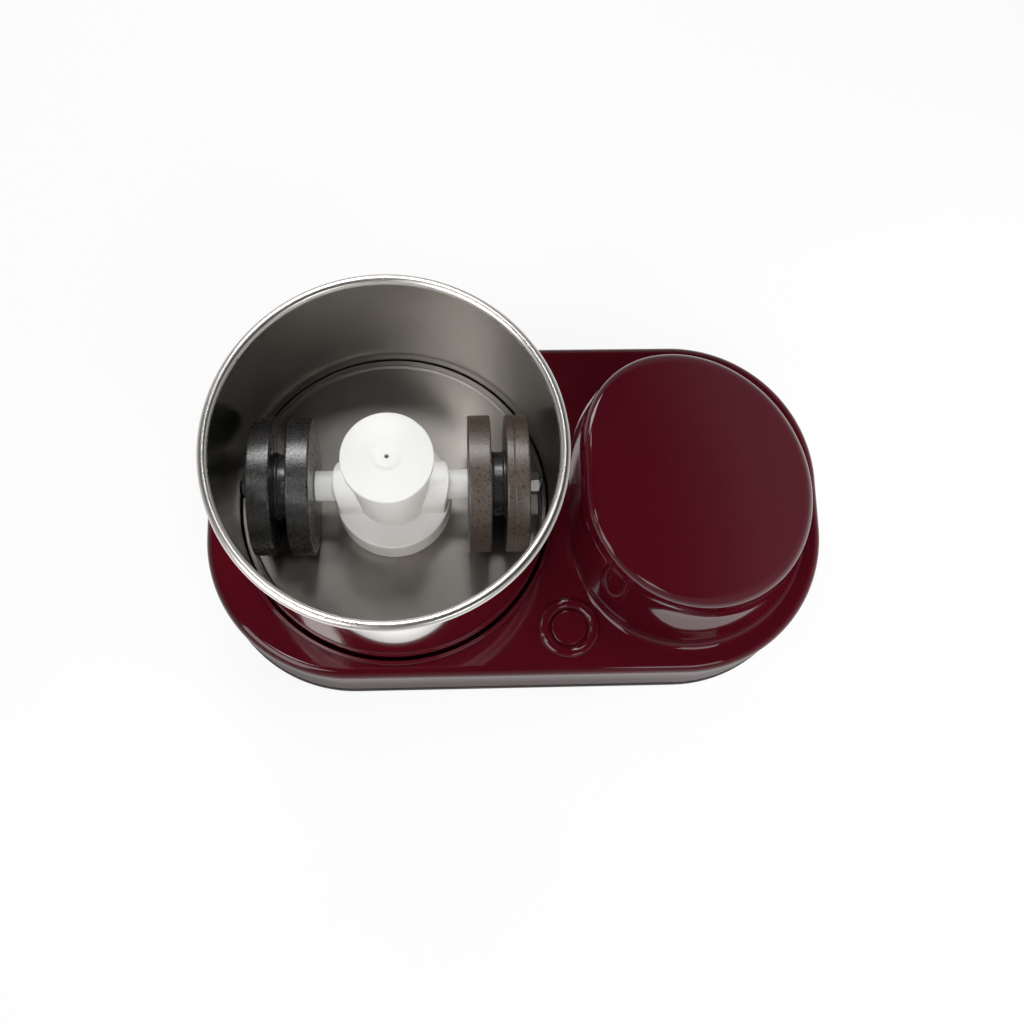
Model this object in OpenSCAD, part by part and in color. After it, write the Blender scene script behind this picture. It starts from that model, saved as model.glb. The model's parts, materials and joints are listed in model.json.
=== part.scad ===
// Tabletop wet grinder: a spinning steel drum with a pair of stone rollers on the
// left, and a motor tower with a sloping lid on the right.
// Millimetres, +X towards the motor tower, +Y to the back, +Z up, origin on the
// table under the middle of the base.

/* [Drum] */
// Outside radius of the drum's wall
drum_r = 105.5; // [100:0.5:112]
// Height of the drum from its underside to its rim
drum_h = 145; // [130:1:160]
// Thickness of the drum's steel sheet
drum_t = 1; // [0.8:0.1:1.5]
// Radius of the wire that the rim is rolled around
bead_r = 3.2; // [2.5:0.1:4]
// Radius of the bend between the drum's wall and its floor
drum_bend = 4; // [2:0.5:6]
// Thickness of the grinding bed
bed_t = 12.6; // [9:0.2:16]
// Width of the gutter between the bed and the drum's wall
gutter_w = 4.5; // [3:0.5:8]
// Outside radius of the chimney that keeps the batter off the shaft
chimney_r = 13; // [12.5:0.25:14]
// Height of the chimney's top above the roller axle
chimney_rise = 18; // [16:0.5:22]
// Thickness of the boss under the drum
boss_t = 7; // [6:0.5:9]
// Radius of the boss under the drum
boss_r = 46; // [42:1:52]

/* [Rollers] */
// Radius of the stone discs
stone_r = 44.6; // [42:0.2:46]
// Thickness of each stone disc
stone_t = 14.5; // [12:0.5:16]
// Rounding of the stones' edges
stone_edge = 1.2; // [0.8:0.1:2.5]
// Length of the spool between the two stones of a roller
spool_l = 9.5; // [8:0.5:12]
// Radius of the spool
spool_r = 22; // [18:0.5:30]
// Distance from the shaft's axis to a roller's inner face
roller_in = 49.5; // [48:0.5:52]
// Radius of the roller axle
axle_r = 5; // [4:0.25:6]
// Radius of the bush in each roller
bush_r = 8.5; // [7.5:0.25:10]
// Gap between the stones and the bed
nip = 0.3; // [0.2:0.1:1]

/* [Roller holder] */
// Radius of the holder's lower flange
flange_r = 38.6; // [36:0.2:42]
// Height of the holder's lower flange
flange_h = 27.5; // [22:0.5:32]
// Gap between the holder's flange and the bed
flange_gap = 2; // [1:0.5:4]
// Radius of the holder's neck
neck_r = 21; // [20:0.5:24]
// Height of the holder's top above the axle
neck_rise = 47; // [42:1:52]
// Radius of the arm that carries each axle
arm_r = 9.8; // [9:0.2:12]
// Half width of the saddle at the root of each arm, and radius of its round top
saddle_r = 15.5; // [13:0.5:17]
// Radius of the lock knob
knob_r = 28.6; // [26:0.2:32]
// Thickness of the lock knob's disc
knob_t = 6.5; // [5.5:0.5:12]
// Height of the boss under the lock knob's disc
knob_boss_h = 9; // [5:0.5:12]

/* [Base] */
// Height of the deck above the table
deck_z = 74; // [72:0.5:84]
// Wall thickness of the moulded housing
wall = 3; // [2.5:0.25:3.5]
// How far the skirt leans in from its foot to the deck
skirt_draft = 1; // [0.5:0.25:3]
// Corner radius of the base, seen from above
base_corner = 100; // [92:1:108]
// Rounding of the deck's edge
deck_round = 5; // [3:0.5:7]
// Gap between the drum and the well that it turns in
drum_gap = 5; // [4:0.5:7]
// Width of the lip around the well
lip_w = 3; // [2.5:0.25:4]
// Height of the lip above the deck
lip_h = 2.5; // [1.5:0.5:4]
// Ledge between the well's lip and the skirt
edge_margin = 4.5; // [4:0.5:8]
// Depth of the well below the deck
well_depth = 14; // [13:0.5:16]
// Ledge at the left end of the base, on top of the front edge's margin
left_ledge = 12.5; // [10:0.5:26]
// Height of the rubber feet
foot_h = 6; // [4:0.5:9]
// Radius of the rubber feet
foot_r = 13; // [10:0.5:16]
// Height of the pan's edge under the skirt
pan_edge_h = 8; // [4:0.5:10]
// Thickness of the pan's floor
pan_t = 3; // [2.5:0.25:4]

/* [Tower] */
// Radius of the motor tower
tower_r = 87; // [84:0.5:92]
// Distance from the tower's centre to its flattened side
tower_flat = 77.5; // [76:0.5:82]
// Corner radius of the flattened side
tower_corner = 73; // [60:1:75]
// Gap between the well's lip and the tower
tower_gap = 7.5; // [5:0.5:14]
// Ledge between the tower and the right end of the base
right_ledge = 11; // [9:0.5:36]
// Height of the lid's top above the table at the tower's centre
tower_z = 142.4; // [138:0.5:160]
// Slope of the lid, down towards the right
lid_tilt = 21.8; // [15:0.2:22]
// Depth of the lid's side, straight down
lid_band = 18; // [14:0.5:22]
// Rounding of the lid's shoulder
lid_round = 6; // [4:0.5:8]

/* [Button] */
// Radius of the push button
button_r = 12; // [10:0.5:13]
// Width of the sunk ring around the button
button_sink = 3; // [2:0.5:4]
// Width of the bezel's raised ring
bezel_w = 5.8; // [5:0.2:7]
// Distance that the button travels
button_travel = 3; // [2:0.25:4]
// Distance of the button from the front edge of the base
button_front = 31.7; // [28:0.1:34]
// Distance of the button from the drum's axis, along the base
button_side = 117; // [112:0.5:124]

/* [Drive] */
// Radius of the fixed centre shaft
shaft_r = 8; // [7:0.25:9]
// Outside radius of the shaft's bearings
bearing_r = 16; // [15:0.25:18]
// Width of each bearing
bearing_w = 9; // [8:0.5:11]
// Outside radius of the drive hub
hub_r = 22; // [21:0.5:24]
// Radius of the drive hub's top plate
plate_r = 40; // [36:0.5:44]
// Thickness of the drive hub's top plate
plate_t = 4; // [3:0.25:5]
// Number of drive pins
pin_n = 3; // [2:1:4]
// Radius of the drive pins
pin_r = 4; // [3:0.25:5]
// Radius of the drive pulley where the belt runs
pulley_r = 86; // [78:1:88]
// Radius of the motor pulley where the belt runs
motor_pulley_r = 12; // [10:0.5:14]
// Width of the belt
belt_w = 10; // [8:0.5:12]
// Thickness of the belt
belt_t = 2.7; // [2:0.1:3.2]
// Height of the belt's middle above the table
belt_z = 39; // [38:0.5:41]

/* [Motor] */
// Radius of the motor's stator
stator_r = 44; // [40:0.5:46]
// Height of the stator's lamination stack
stator_h = 40; // [34:0.5:42]
// Radius of the rotor
rotor_r = 24; // [22:0.5:26]
// Radius of the motor's shaft
motor_shaft_r = 5; // [4:0.25:6]
// Distance from the tower's centre to the motor's axis
motor_shift = 14; // [10:0.5:18]
// Side of the square motor plate
motor_plate_w = 110; // [100:1:112]
// Radius of the motor's fan
fan_r = 32; // [28:0.5:34]
// Number of fan blades
fan_n = 8; // [5:1:10]
// Radius of the run capacitor
capacitor_r = 16; // [14:0.5:17]
// Length of the run capacitor
capacitor_l = 58; // [50:1:62]

/* [Hidden] */
$fn = 96;
// Radial clearance of a running fit, and of a piece that is pressed or screwed in
running = 0.05;
snug = 0.02;
// Gap between faces that turn or slide past each other
clear = 0.3;
// Overshoot of a cutting solid
cut = 1;

// Plan of the base
well_r = drum_r + drum_gap;
base_half = well_r + lip_w + edge_margin;
axis_gap = well_r + lip_w + tower_gap + tower_flat;
base_l = base_half + left_ledge + axis_gap + tower_r + right_ledge;
corner_x = base_l / 2 - base_corner;
corner_y = base_half - base_corner;
drum_x = -base_l / 2 + base_half + left_ledge;
tower_x = drum_x + axis_gap;
motor_x = tower_x - motor_shift;
button_x = drum_x + button_side;
button_y = -base_half + button_front;
sleeve_r = button_r + button_sink;
bezel_r = sleeve_r + bezel_w;
bezel_nut_w = 4.5;
tilt_k = tan(lid_tilt);

// Heights, from the table up
pan_z = foot_h;
pan_top = pan_z + pan_t;
skirt_z = pan_z + pan_edge_h;
well_z = deck_z - well_depth;
plate_gap = 2;
plate_top = well_z + plate_gap + plate_t;
drum_z = plate_top + clear + boss_t;
bed_z = drum_z + drum_t;
bed_top = bed_z + bed_t;
rim_z = drum_z + drum_h;
axle_z = bed_top + nip + stone_r;
chimney_top = axle_z + chimney_rise;
holder_z = bed_top + flange_gap;
holder_top = axle_z + neck_rise;
knob_z = holder_top + clear;
knob_top = knob_z + knob_boss_h + knob_t;
washer_t = 2;
washer_z = chimney_top + clear;
seat_z = washer_z + washer_t + clear;
shaft_flange_r = 32;
shaft_flange_t = 6;
shaft_collar_r = 13;
hub_drop = 13;
hub_z = belt_z - hub_drop;
stator_rise = 4;
stator_z = well_z + stator_rise;

// Plan of the drum and the rollers
bed_r = drum_r - drum_t - gutter_w;
chimney_t = 2.5;
chimney_in = chimney_r - chimney_t;
chimney_gap = 1.5;
holder_bore = chimney_r + chimney_gap;
roller_out = roller_in + 2 * stone_t + spool_l;
axle_washer_t = 1.5;
axle_wall = 2;
axle_in = holder_bore + axle_wall;
arm_end = roller_in - axle_washer_t - 2 * clear;
nut_t = 6;
rod_end = 1.5;
nut_r = 7.5;
axle_washer_r = 9;
key_w = 13;
tip_r = 6;
tip_cover = 3.8;
key_in = 3;
pin_edge = 9;
pin_circle = plate_r - pin_edge;

maroon = "#4a0c16";
steel = "#a8a6a2";
satin = "#8b867f";
nylon = "#f2f1ec";
granite_dark = "#2c2b2c";
granite_brown = "#5a524c";
pan_grey = "#3b3b3a";
rubber_black = "#1c1c1c";
brass = "#b08d4a";
copper = "#a85a32";
zinc = "#b9bbbd";

// Points of an arc from angle a0 to angle a1 in n steps
function arc(cx, cy, r, a0, a1, n) =
  [for (i = [0 : n]) let (a = a0 + (a1 - a0) * i / n) [cx + r * cos(a), cy + r * sin(a)]];

// Round washer-like ring from radius r0 to r1, h tall
module ring(r1, r0, h) {
  difference() {
    cylinder(r = r1, h = h);
    translate([0, 0, -cut]) cylinder(r = r0, h = h + 2 * cut);
  }
}

// Solid with a rounded rectangle as its plan, from a profile in distance from the corners'
// centres and height; between these centres it is filled from z0 to z1
module rounded_revolve(z0, z1) {
  for (s = [0, 1]) rotate([0, 0, 180 * s]) {
    translate([corner_x, corner_y, 0]) rotate_extrude(angle = 90) children();
    translate([-corner_x, corner_y, 0]) rotate([0, 0, 90]) rotate_extrude(angle = 90) children();
    translate([-corner_x, corner_y, 0]) rotate([90, 0, 90])
      linear_extrude(2 * corner_x) children();
    translate([corner_x, corner_y, 0]) rotate([90, 0, 0])
      linear_extrude(2 * corner_y) children();
  }
  translate([-corner_x, -corner_y, z0]) cube([2 * corner_x, 2 * corner_y, z1 - z0]);
}

// Places of the six posts that hold the housing to the pan
post_inset = 14;
post_angle = 35;
post_r = 5.5;
post_places = concat(
  [for (s = [-1, 1], t = [-1, 1])
    [s * (corner_x + (base_corner - post_inset) * cos(post_angle)),
     t * (corner_y + (base_corner - post_inset) * sin(post_angle))]],
  [for (t = [-1, 1]) [button_x - sleeve_r - bezel_nut_w - clear - post_r, t * (base_half - post_inset)]]);

// Places of the feet and of the motor plate's posts
foot_end = 56;
foot_in = 42;
foot_places = [for (s = [-1, 1], t = [-1, 1]) [s * (base_l / 2 - foot_end), t * (base_half - foot_in)]];
plate_inset = 9;
plate_places = [for (s = [-1, 1], t = [-1, 1])
  [motor_x + s * (motor_plate_w / 2 - plate_inset), t * (motor_plate_w / 2 - plate_inset)]];

// Base pan: a bevelled edge under the skirt, an upstand that the skirt slips over, posts,
// foot holes and air slots under the motor
pan_out = 0.6;
pan_bevel = 2;
pan_step = 8;
pan_lip_t = 3;
pan_lip_r = base_corner - wall - clear - skirt_draft * (pan_step + cut) / (deck_z - skirt_z);
pan_slot_n = 7;
pan_slot_w = 4;
pan_slot_l = 60;
pan_slot_pitch = 10;
foot_stem_r = 4;
screw_r = 1.75;
screw_head_r = 3.5;
screw_head_t = 2.4;
post_rise = 22;
post_split = skirt_z + post_rise;
module base_pan() {
  color(pan_grey) difference() {
    union() {
      rounded_revolve(pan_z, pan_top) polygon([[0, pan_z], [base_corner + pan_out - pan_bevel, pan_z],
        [base_corner + pan_out, pan_z + pan_bevel], [base_corner + pan_out, skirt_z], [pan_lip_r, skirt_z],
        [pan_lip_r, skirt_z + pan_step], [pan_lip_r - pan_lip_t, skirt_z + pan_step],
        [pan_lip_r - pan_lip_t, pan_top], [0, pan_top]]);
      for (p = post_places) translate([p[0], p[1], pan_top])
        cylinder(r = post_r, h = post_split - pan_top);
    }
    for (p = post_places) translate([p[0], p[1], pan_z - cut]) {
      cylinder(r = screw_r + snug, h = post_split);
      cylinder(r = screw_head_r + snug, h = screw_head_t + cut);
    }
    for (p = foot_places) translate([p[0], p[1], pan_z - cut])
      cylinder(r = foot_stem_r + snug, h = pan_t + 2 * cut);
    for (i = [0 : pan_slot_n - 1])
      translate([motor_x + (i - (pan_slot_n - 1) / 2) * pan_slot_pitch - pan_slot_w / 2,
                 -pan_slot_l / 2, pan_z - cut])
        cube([pan_slot_w, pan_slot_l, pan_t + 2 * cut]);
  }
}

// Four rubber feet, each with a stem pushed through the pan and a snap collar above it
foot_bevel = 1.5;
foot_taper = 1;
snap_w = 1.5;
snap_h = 4;
module rubber_feet() {
  color(rubber_black) for (p = foot_places) translate([p[0], p[1], 0]) rotate_extrude()
    polygon([[0, 0], [foot_r - foot_bevel, 0], [foot_r, foot_bevel], [foot_r - foot_taper, foot_h],
      [foot_stem_r, foot_h], [foot_stem_r, pan_top], [foot_stem_r + snap_w, pan_top],
      [foot_stem_r - foot_taper, pan_top + snap_h], [0, pan_top + snap_h]]);
}

// Outline of the tower, drawn in by d: a round right side, and a flattened left side
// that runs into it over two corner arcs
tower_n_round = 44;
tower_n_corner = 12;
function tower_outline(d) =
  let (cx = tower_corner - tower_flat,
       cy = sqrt((tower_r - tower_corner) * (tower_r - tower_corner) - cx * cx),
       a = atan2(cy, cx),
       r = tower_r - d,
       c = tower_corner - d)
  concat(arc(0, 0, r, -a, a, tower_n_round),
    [for (i = [1 : tower_n_corner]) let (t = a + (180 - a) * i / tower_n_corner)
      [cx + c * cos(t), cy + c * sin(t)]],
    [for (i = [0 : tower_n_corner - 1]) let (t = 180 + (180 - a) * i / tower_n_corner)
      [cx + c * cos(t), -cy + c * sin(t)]]);

// Everything above the sloping plane that lies drop below the lid's top
module above_lid_plane(drop) {
  far = 2 * base_l;
  translate([tower_x, 0, tower_z - drop]) rotate([0, lid_tilt, 0])
    translate([-far / 2, -far / 2, 0]) cube([far, far, far]);
}

// Moulded housing: skirt, deck, drum well with its lip, tower wall and screw posts
gland_x = 65.5;
gland_rise = 18;
gland_z = skirt_z + gland_rise;
gland_r = 7;
hub_gap = 3;
well_hole_r = hub_r + hub_gap;
hole_rim_w = 2;
hole_rim_h = 1.2;
cup_t = 2;
cup_bevel = 2;
tower_foot_w = 2;
tower_foot_h = 1.3;
inner_round = 1;
module housing_profile(inset, top) {
  r0 = base_corner - inset;
  r1 = base_corner - skirt_draft - inset;
  f = max(deck_round - inset, inner_round);
  polygon(concat([[0, inset > 0 ? skirt_z - cut : skirt_z], [r0, inset > 0 ? skirt_z - cut : skirt_z]],
    arc(r1 - f, top - f, f, 0, 90, 6), [[0, top]]));
}
module top_housing() {
  color(maroon) {
    difference() {
      union() {
        difference() {
          rounded_revolve(skirt_z, deck_z) housing_profile(0, deck_z);
          rounded_revolve(skirt_z - cut, deck_z - wall) housing_profile(wall, deck_z - wall);
        }
        difference() {
          translate([tower_x, 0, deck_z - wall]) linear_extrude(tower_z) polygon(tower_outline(0));
          above_lid_plane(lid_band);
        }
        translate([tower_x, 0, deck_z - wall]) linear_extrude(wall + tower_foot_h)
          polygon(tower_outline(-tower_foot_w));
        translate([drum_x, 0, 0]) rotate_extrude() polygon(concat(
          [[well_r - cut, deck_z - wall], [well_r + lip_w, deck_z - wall]],
          arc(well_r + lip_w / 2, deck_z + lip_h - lip_w / 2, lip_w / 2, 0, 180, 8),
          [[well_r, deck_z], [well_r - cut, deck_z]]));
      }
      translate([tower_x, 0, deck_z - wall - cut]) linear_extrude(tower_z) polygon(tower_outline(wall));
      translate([drum_x, 0, deck_z - wall - cut]) cylinder(r = well_r, h = 4 * wall);
      translate([button_x, button_y, deck_z - wall - cut])
        cylinder(r = sleeve_r + snug, h = wall + 2 * cut);
      translate([gland_x, base_half - 3 * wall, gland_z]) rotate([-90, 0, 0])
        cylinder(r = gland_r + snug, h = 4 * wall);
    }
    translate([drum_x, 0, 0]) rotate_extrude() polygon([[well_hole_r, well_z - wall],
      [well_r + cup_t, well_z - wall], [well_r + cup_t, deck_z - wall], [well_r, deck_z - wall],
      [well_r, well_z + cup_bevel], [well_r - cup_bevel, well_z], [well_hole_r + hole_rim_w, well_z],
      [well_hole_r + hole_rim_w, well_z + hole_rim_h], [well_hole_r, well_z + hole_rim_h]]);
    for (p = post_places) translate([p[0], p[1], post_split])
      ring(post_r, screw_r + snug, deck_z - wall - post_split);
  }
}

// Six self-tapping screws that come up from under the pan
screw_bite = 16;
screw_l = post_split + screw_bite - pan_z;
cross_l = 4;
cross_w = 0.8;
cross_d = 1.4;
module housing_screws() {
  color(zinc) for (p = post_places) translate([p[0], p[1], pan_z]) difference() {
    union() {
      cylinder(r = screw_r, h = screw_l);
      cylinder(r = screw_head_r, h = screw_head_t);
    }
    for (a = [0, 90]) rotate([0, 0, a]) translate([-cross_l / 2, -cross_w / 2, -cut])
      cube([cross_l, cross_w, cut + cross_d]);
  }
}

// Sloping lid: straight sides, a rounded shoulder and a flat top, hollow underneath, with a
// spigot that drops inside the tower's wall
lid_steps = 6;
lid_chamfer = 0.5;
spigot_h = 6;
spigot_t = 2;
function lid_ring(d, drop) =
  [for (p = tower_outline(d)) [tower_x + p[0], p[1], tower_z - tilt_k * p[0] - drop]];
module motor_cap() {
  spigot_out = wall + clear;
  spigot_in = spigot_out + spigot_t;
  outer = concat([lid_ring(lid_chamfer, lid_band), lid_ring(0, lid_band - lid_chamfer)],
    [for (i = [0 : lid_steps]) let (a = 90 * i / lid_steps)
      lid_ring(lid_round * (1 - cos(a)), lid_round * (1 - sin(a)))]);
  inner = [lid_ring(lid_round + wall, wall), lid_ring(spigot_in, lid_round + wall),
    lid_ring(spigot_in, lid_band + spigot_h), lid_ring(spigot_out, lid_band + spigot_h),
    lid_ring(spigot_out, lid_band)];
  rings = concat(outer, inner);
  n = len(rings[0]);
  m = len(rings);
  last_outer = len(outer) - 1;
  strips = [for (k = [0 : m - 1], j = [0 : n - 1]) if (k != last_outer)
    let (k2 = (k + 1) % m, j2 = (j + 1) % n)
    [[k * n + j, k2 * n + j, k2 * n + j2], [k * n + j, k2 * n + j2, k * n + j2]]];
  top_face = [for (j = [n - 1 : -1 : 0]) last_outer * n + j];
  ceiling = [for (j = [0 : n - 1]) (last_outer + 1) * n + j];
  color(maroon) polyhedron(points = [for (r = rings) each r],
    faces = concat([for (s = strips) each s], [top_face, ceiling]));
}

// Bezel: a raised ring on the deck, a sunk inner ring and a threaded sleeve below
bezel_h = 3.2;
bezel_lip = 0.6;
sink_z = deck_z + 0.4;
sleeve_l = 14;
sleeve_z = deck_z - sleeve_l;
sleeve_floor = 4.5;
button_floor_z = sleeve_z + sleeve_floor;
stem_r = 4;
module button_bezel() {
  color(maroon) translate([button_x, button_y, 0]) rotate_extrude()
    polygon(concat([[button_r + running, button_floor_z], [button_r + running, sink_z],
        [sleeve_r - bezel_lip, sink_z]],
      arc(sleeve_r + bezel_h / 2 - bezel_lip, deck_z + bezel_h / 2, bezel_h / 2, 180, 90, 5),
      arc(bezel_r - bezel_h, deck_z, bezel_h, 90, 0, 5),
      [[sleeve_r, deck_z], [sleeve_r, sleeve_z], [stem_r + clear, sleeve_z],
       [stem_r + clear, button_floor_z]]));
}

// Nut that clamps the bezel's sleeve under the deck
bezel_nut_h = 5;
module bezel_nut() {
  color(pan_grey) translate([button_x, button_y, deck_z - wall - bezel_nut_h]) difference() {
    cylinder(r = sleeve_r + bezel_nut_w, h = bezel_nut_h, $fn = 6);
    translate([0, 0, -cut]) cylinder(r = sleeve_r + snug, h = bezel_nut_h + 2 * cut);
  }
}

// Switch under the bezel, with its two terminals
switch_w = 22;
switch_h = 20;
switch_well = 4;
stem_gap = 1;
spade_w = 4.8;
spade_t = 0.8;
spade_l = 8;
spade_x = 5;
module spades() {
  for (s = [-1, 1]) translate([s * spade_x - spade_w / 2, -spade_t / 2, -spade_l])
    cube([spade_w, spade_t, spade_l]);
}
module switch_body() {
  color(rubber_black) translate([button_x, button_y, sleeve_z - switch_h]) {
    difference() {
      translate([-switch_w / 2, -switch_w / 2, 0]) cube([switch_w, switch_w, switch_h]);
      translate([0, 0, switch_h - switch_well]) cylinder(r = stem_r + stem_gap, h = switch_well + cut);
    }
    spades();
  }
}

// Push button: a shallow crowned disc with a rounded edge on a stem
button_rise = 2.2;
button_crown = 1.2;
button_round = 1.5;
module push_button() {
  foot = button_floor_z + button_travel + clear;
  top = deck_z + button_rise;
  edge = button_r - button_round;
  crown_r = (edge * edge + button_crown * button_crown) / (2 * button_crown);
  crown_a = asin(edge / crown_r);
  color(maroon) translate([button_x, button_y, 0]) rotate_extrude()
    polygon(concat([[0, sleeve_z], [stem_r, sleeve_z], [stem_r, foot], [button_r, foot]],
      arc(edge, top - button_crown - button_round, button_round, 0, 90 - crown_a, 4),
      arc(0, top - crown_r, crown_r, 90 - crown_a, 90, 8)));
}

// Fixed shaft that carries the drive, the drum and the roller holder
module keyed(r, w, h) {
  intersection() {
    cylinder(r = r, h = h);
    translate([-w / 2, -r, 0]) cube([w, 2 * r, h]);
  }
}
module centre_shaft() {
  color(steel) translate([drum_x, 0, 0]) {
    translate([0, 0, pan_top]) cylinder(r = shaft_r, h = seat_z - pan_top);
    translate([0, 0, seat_z]) keyed(shaft_r, key_w, holder_top - key_in - seat_z);
    translate([0, 0, holder_top - key_in])
      cylinder(r = tip_r, h = knob_top - tip_cover - clear - holder_top + key_in);
  }
}

// Flange that holds the shaft on the pan, and its four bolts
flange_bolt_r = 2.5;
flange_bolt_n = 4;
flange_bolt_edge = 8;
bolt_head_r = 4.6;
bolt_head_h = 3.5;
module flange_bolt_ring() {
  for (i = [0 : flange_bolt_n - 1]) rotate([0, 0, (i + 0.5) * 360 / flange_bolt_n])
    translate([shaft_flange_r - flange_bolt_edge, 0, 0]) children();
}
module shaft_flange() {
  color(zinc) translate([drum_x, 0, pan_top]) difference() {
    union() {
      cylinder(r = shaft_flange_r, h = shaft_flange_t);
      cylinder(r = shaft_collar_r, h = hub_z - clear - pan_top);
    }
    translate([0, 0, -cut]) cylinder(r = shaft_r + snug, h = hub_z);
    flange_bolt_ring() translate([0, 0, -cut])
      cylinder(r = flange_bolt_r + snug, h = shaft_flange_t + 2 * cut);
  }
}
module flange_bolts() {
  color(zinc) translate([drum_x, 0, pan_top]) flange_bolt_ring() {
    cylinder(r = flange_bolt_r, h = shaft_flange_t);
    translate([0, 0, shaft_flange_t]) cylinder(r = bolt_head_r, h = bolt_head_h, $fn = 6);
  }
}

// Motor plate on four posts with rubber mounts
motor_plate_t = 3;
mount_h = 5;
mount_r = 7.5;
plate_post_r = 5.5;
plate_screw_r = 2;
plate_screw_head_r = 4;
plate_screw_head_t = 2.6;
plate_screw_l = 20;
foot_ring_h = 5;
motor_plate_z = stator_z - foot_ring_h - motor_plate_t;
pulley_hole_gap = 6;
plate_hole_r = motor_pulley_r + pulley_hole_gap;
module motor_plate() {
  color(zinc) difference() {
    translate([motor_x - motor_plate_w / 2, -motor_plate_w / 2, motor_plate_z])
      cube([motor_plate_w, motor_plate_w, motor_plate_t]);
    translate([motor_x, 0, motor_plate_z - cut]) cylinder(r = plate_hole_r, h = motor_plate_t + 2 * cut);
    for (p = plate_places) translate([p[0], p[1], motor_plate_z - cut])
      cylinder(r = plate_screw_r + snug, h = motor_plate_t + 2 * cut);
    translate([motor_x, 0, motor_plate_z]) motor_bolt_holes(motor_plate_t);
  }
}
module plate_posts() {
  color(pan_grey) for (p = plate_places) translate([p[0], p[1], pan_top])
    ring(plate_post_r, plate_screw_r + snug, motor_plate_z - mount_h - pan_top);
}
module motor_mounts() {
  color(rubber_black) for (p = plate_places) translate([p[0], p[1], motor_plate_z - mount_h])
    ring(mount_r, plate_screw_r + snug, mount_h);
}
module plate_screws() {
  color(zinc) for (p = plate_places) translate([p[0], p[1], 0]) {
    translate([0, 0, motor_plate_z - plate_screw_l])
      cylinder(r = plate_screw_r, h = plate_screw_l + motor_plate_t);
    translate([0, 0, motor_plate_z + motor_plate_t])
      cylinder(r = plate_screw_head_r, h = plate_screw_head_t);
  }
}

// Motor: two brackets, a laminated stator with its coils, and four through bolts
motor_bolt_r = 2;
motor_bolt_n = 4;
motor_bolt_edge = 4.5;
motor_bolt_x = stator_r - motor_bolt_edge;
motor_nut_r = 3.6;
motor_nut_h = 3;
bracket_t = 3.5;
bracket_arm_w = 10;
bracket_hub_r = 13;
bracket_hub_h = 5.5;
floor_t = 2.5;
bore_gap = 0.5;
stator_top = stator_z + stator_h;
back_iron = 10;
coil_r = stator_r - back_iron;
coil_h = 8;
coil_gap = 2;
coil_round = 3;
slot_n = 12;
slot_r = 3.4;
slot_mouth = 1.6;
vent_n = 6;
vent_r = 5;
vent_in = 9;
window_w = 16;
fan_space = 4;
bracket_rise = coil_h + bracket_t + fan_space;
module motor_bolt_ring() {
  for (i = [0 : motor_bolt_n - 1]) rotate([0, 0, (i + 0.5) * 360 / motor_bolt_n])
    translate([motor_bolt_x, 0, 0]) children();
}
module motor_bolt_holes(h) {
  motor_bolt_ring() translate([0, 0, -cut]) cylinder(r = motor_bolt_r + snug, h = h + 2 * cut);
}
module motor_lower_bracket() {
  color(zinc) translate([motor_x, 0, stator_z - foot_ring_h]) difference() {
    union() {
      ring(stator_r, coil_r + coil_gap, foot_ring_h);
      ring(coil_r + 2 * coil_gap, motor_shaft_r + running, floor_t);
    }
    motor_bolt_holes(foot_ring_h);
    for (i = [0 : vent_n - 1]) rotate([0, 0, 360 * i / vent_n]) translate([coil_r - vent_in, 0, -cut])
      cylinder(r = vent_r, h = floor_t + 2 * cut);
  }
}
module motor_stator() {
  color(steel) translate([motor_x, 0, stator_z]) difference() {
    cylinder(r = stator_r, h = stator_h);
    translate([0, 0, -cut]) cylinder(r = rotor_r + bore_gap, h = stator_h + 2 * cut);
    for (i = [0 : slot_n - 1]) rotate([0, 0, 360 * i / slot_n]) {
      translate([(rotor_r + coil_r) / 2, 0, -cut]) cylinder(r = slot_r, h = stator_h + 2 * cut);
      translate([rotor_r - cut, -slot_mouth / 2, -cut])
        cube([(coil_r - rotor_r) / 2, slot_mouth, stator_h + 2 * cut]);
    }
    motor_bolt_holes(stator_h);
  }
}
module motor_windings() {
  color(copper) translate([motor_x, 0, stator_top]) rotate_extrude()
    polygon(concat([[rotor_r + coil_gap, 0]],
      arc(rotor_r + coil_gap + coil_round, coil_h - coil_round, coil_round, 180, 90, 4),
      arc(coil_r - coil_round, coil_h - coil_round, coil_round, 90, 0, 4), [[coil_r, 0]]));
}
module motor_upper_bracket() {
  color(zinc) translate([motor_x, 0, stator_top]) difference() {
    union() {
      ring(stator_r, coil_r + coil_gap, bracket_rise);
      translate([0, 0, coil_h + coil_gap]) {
        for (a = [0, 60, 120]) rotate([0, 0, a])
          translate([-coil_r - 2 * coil_gap, -bracket_arm_w / 2, 0])
            cube([2 * (coil_r + 2 * coil_gap), bracket_arm_w, bracket_t]);
        cylinder(r = bracket_hub_r, h = bracket_hub_h);
      }
    }
    translate([0, 0, -cut]) cylinder(r = motor_shaft_r + running, h = bracket_rise + 2 * cut);
    motor_bolt_holes(bracket_rise);
    for (i = [0 : vent_n - 1]) rotate([0, 0, (i + 0.5) * 360 / vent_n])
      translate([coil_r, -window_w / 2, -cut]) cube([stator_r - coil_r + cut, window_w, coil_h + cut]);
  }
}
module motor_bolts() {
  bolt_l = stator_top + bracket_rise - motor_plate_z;
  color(zinc) translate([motor_x, 0, motor_plate_z]) motor_bolt_ring() {
    cylinder(r = motor_bolt_r, h = bolt_l);
    translate([0, 0, bolt_l]) cylinder(r = motor_nut_r, h = motor_nut_h, $fn = 6);
  }
}

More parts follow.
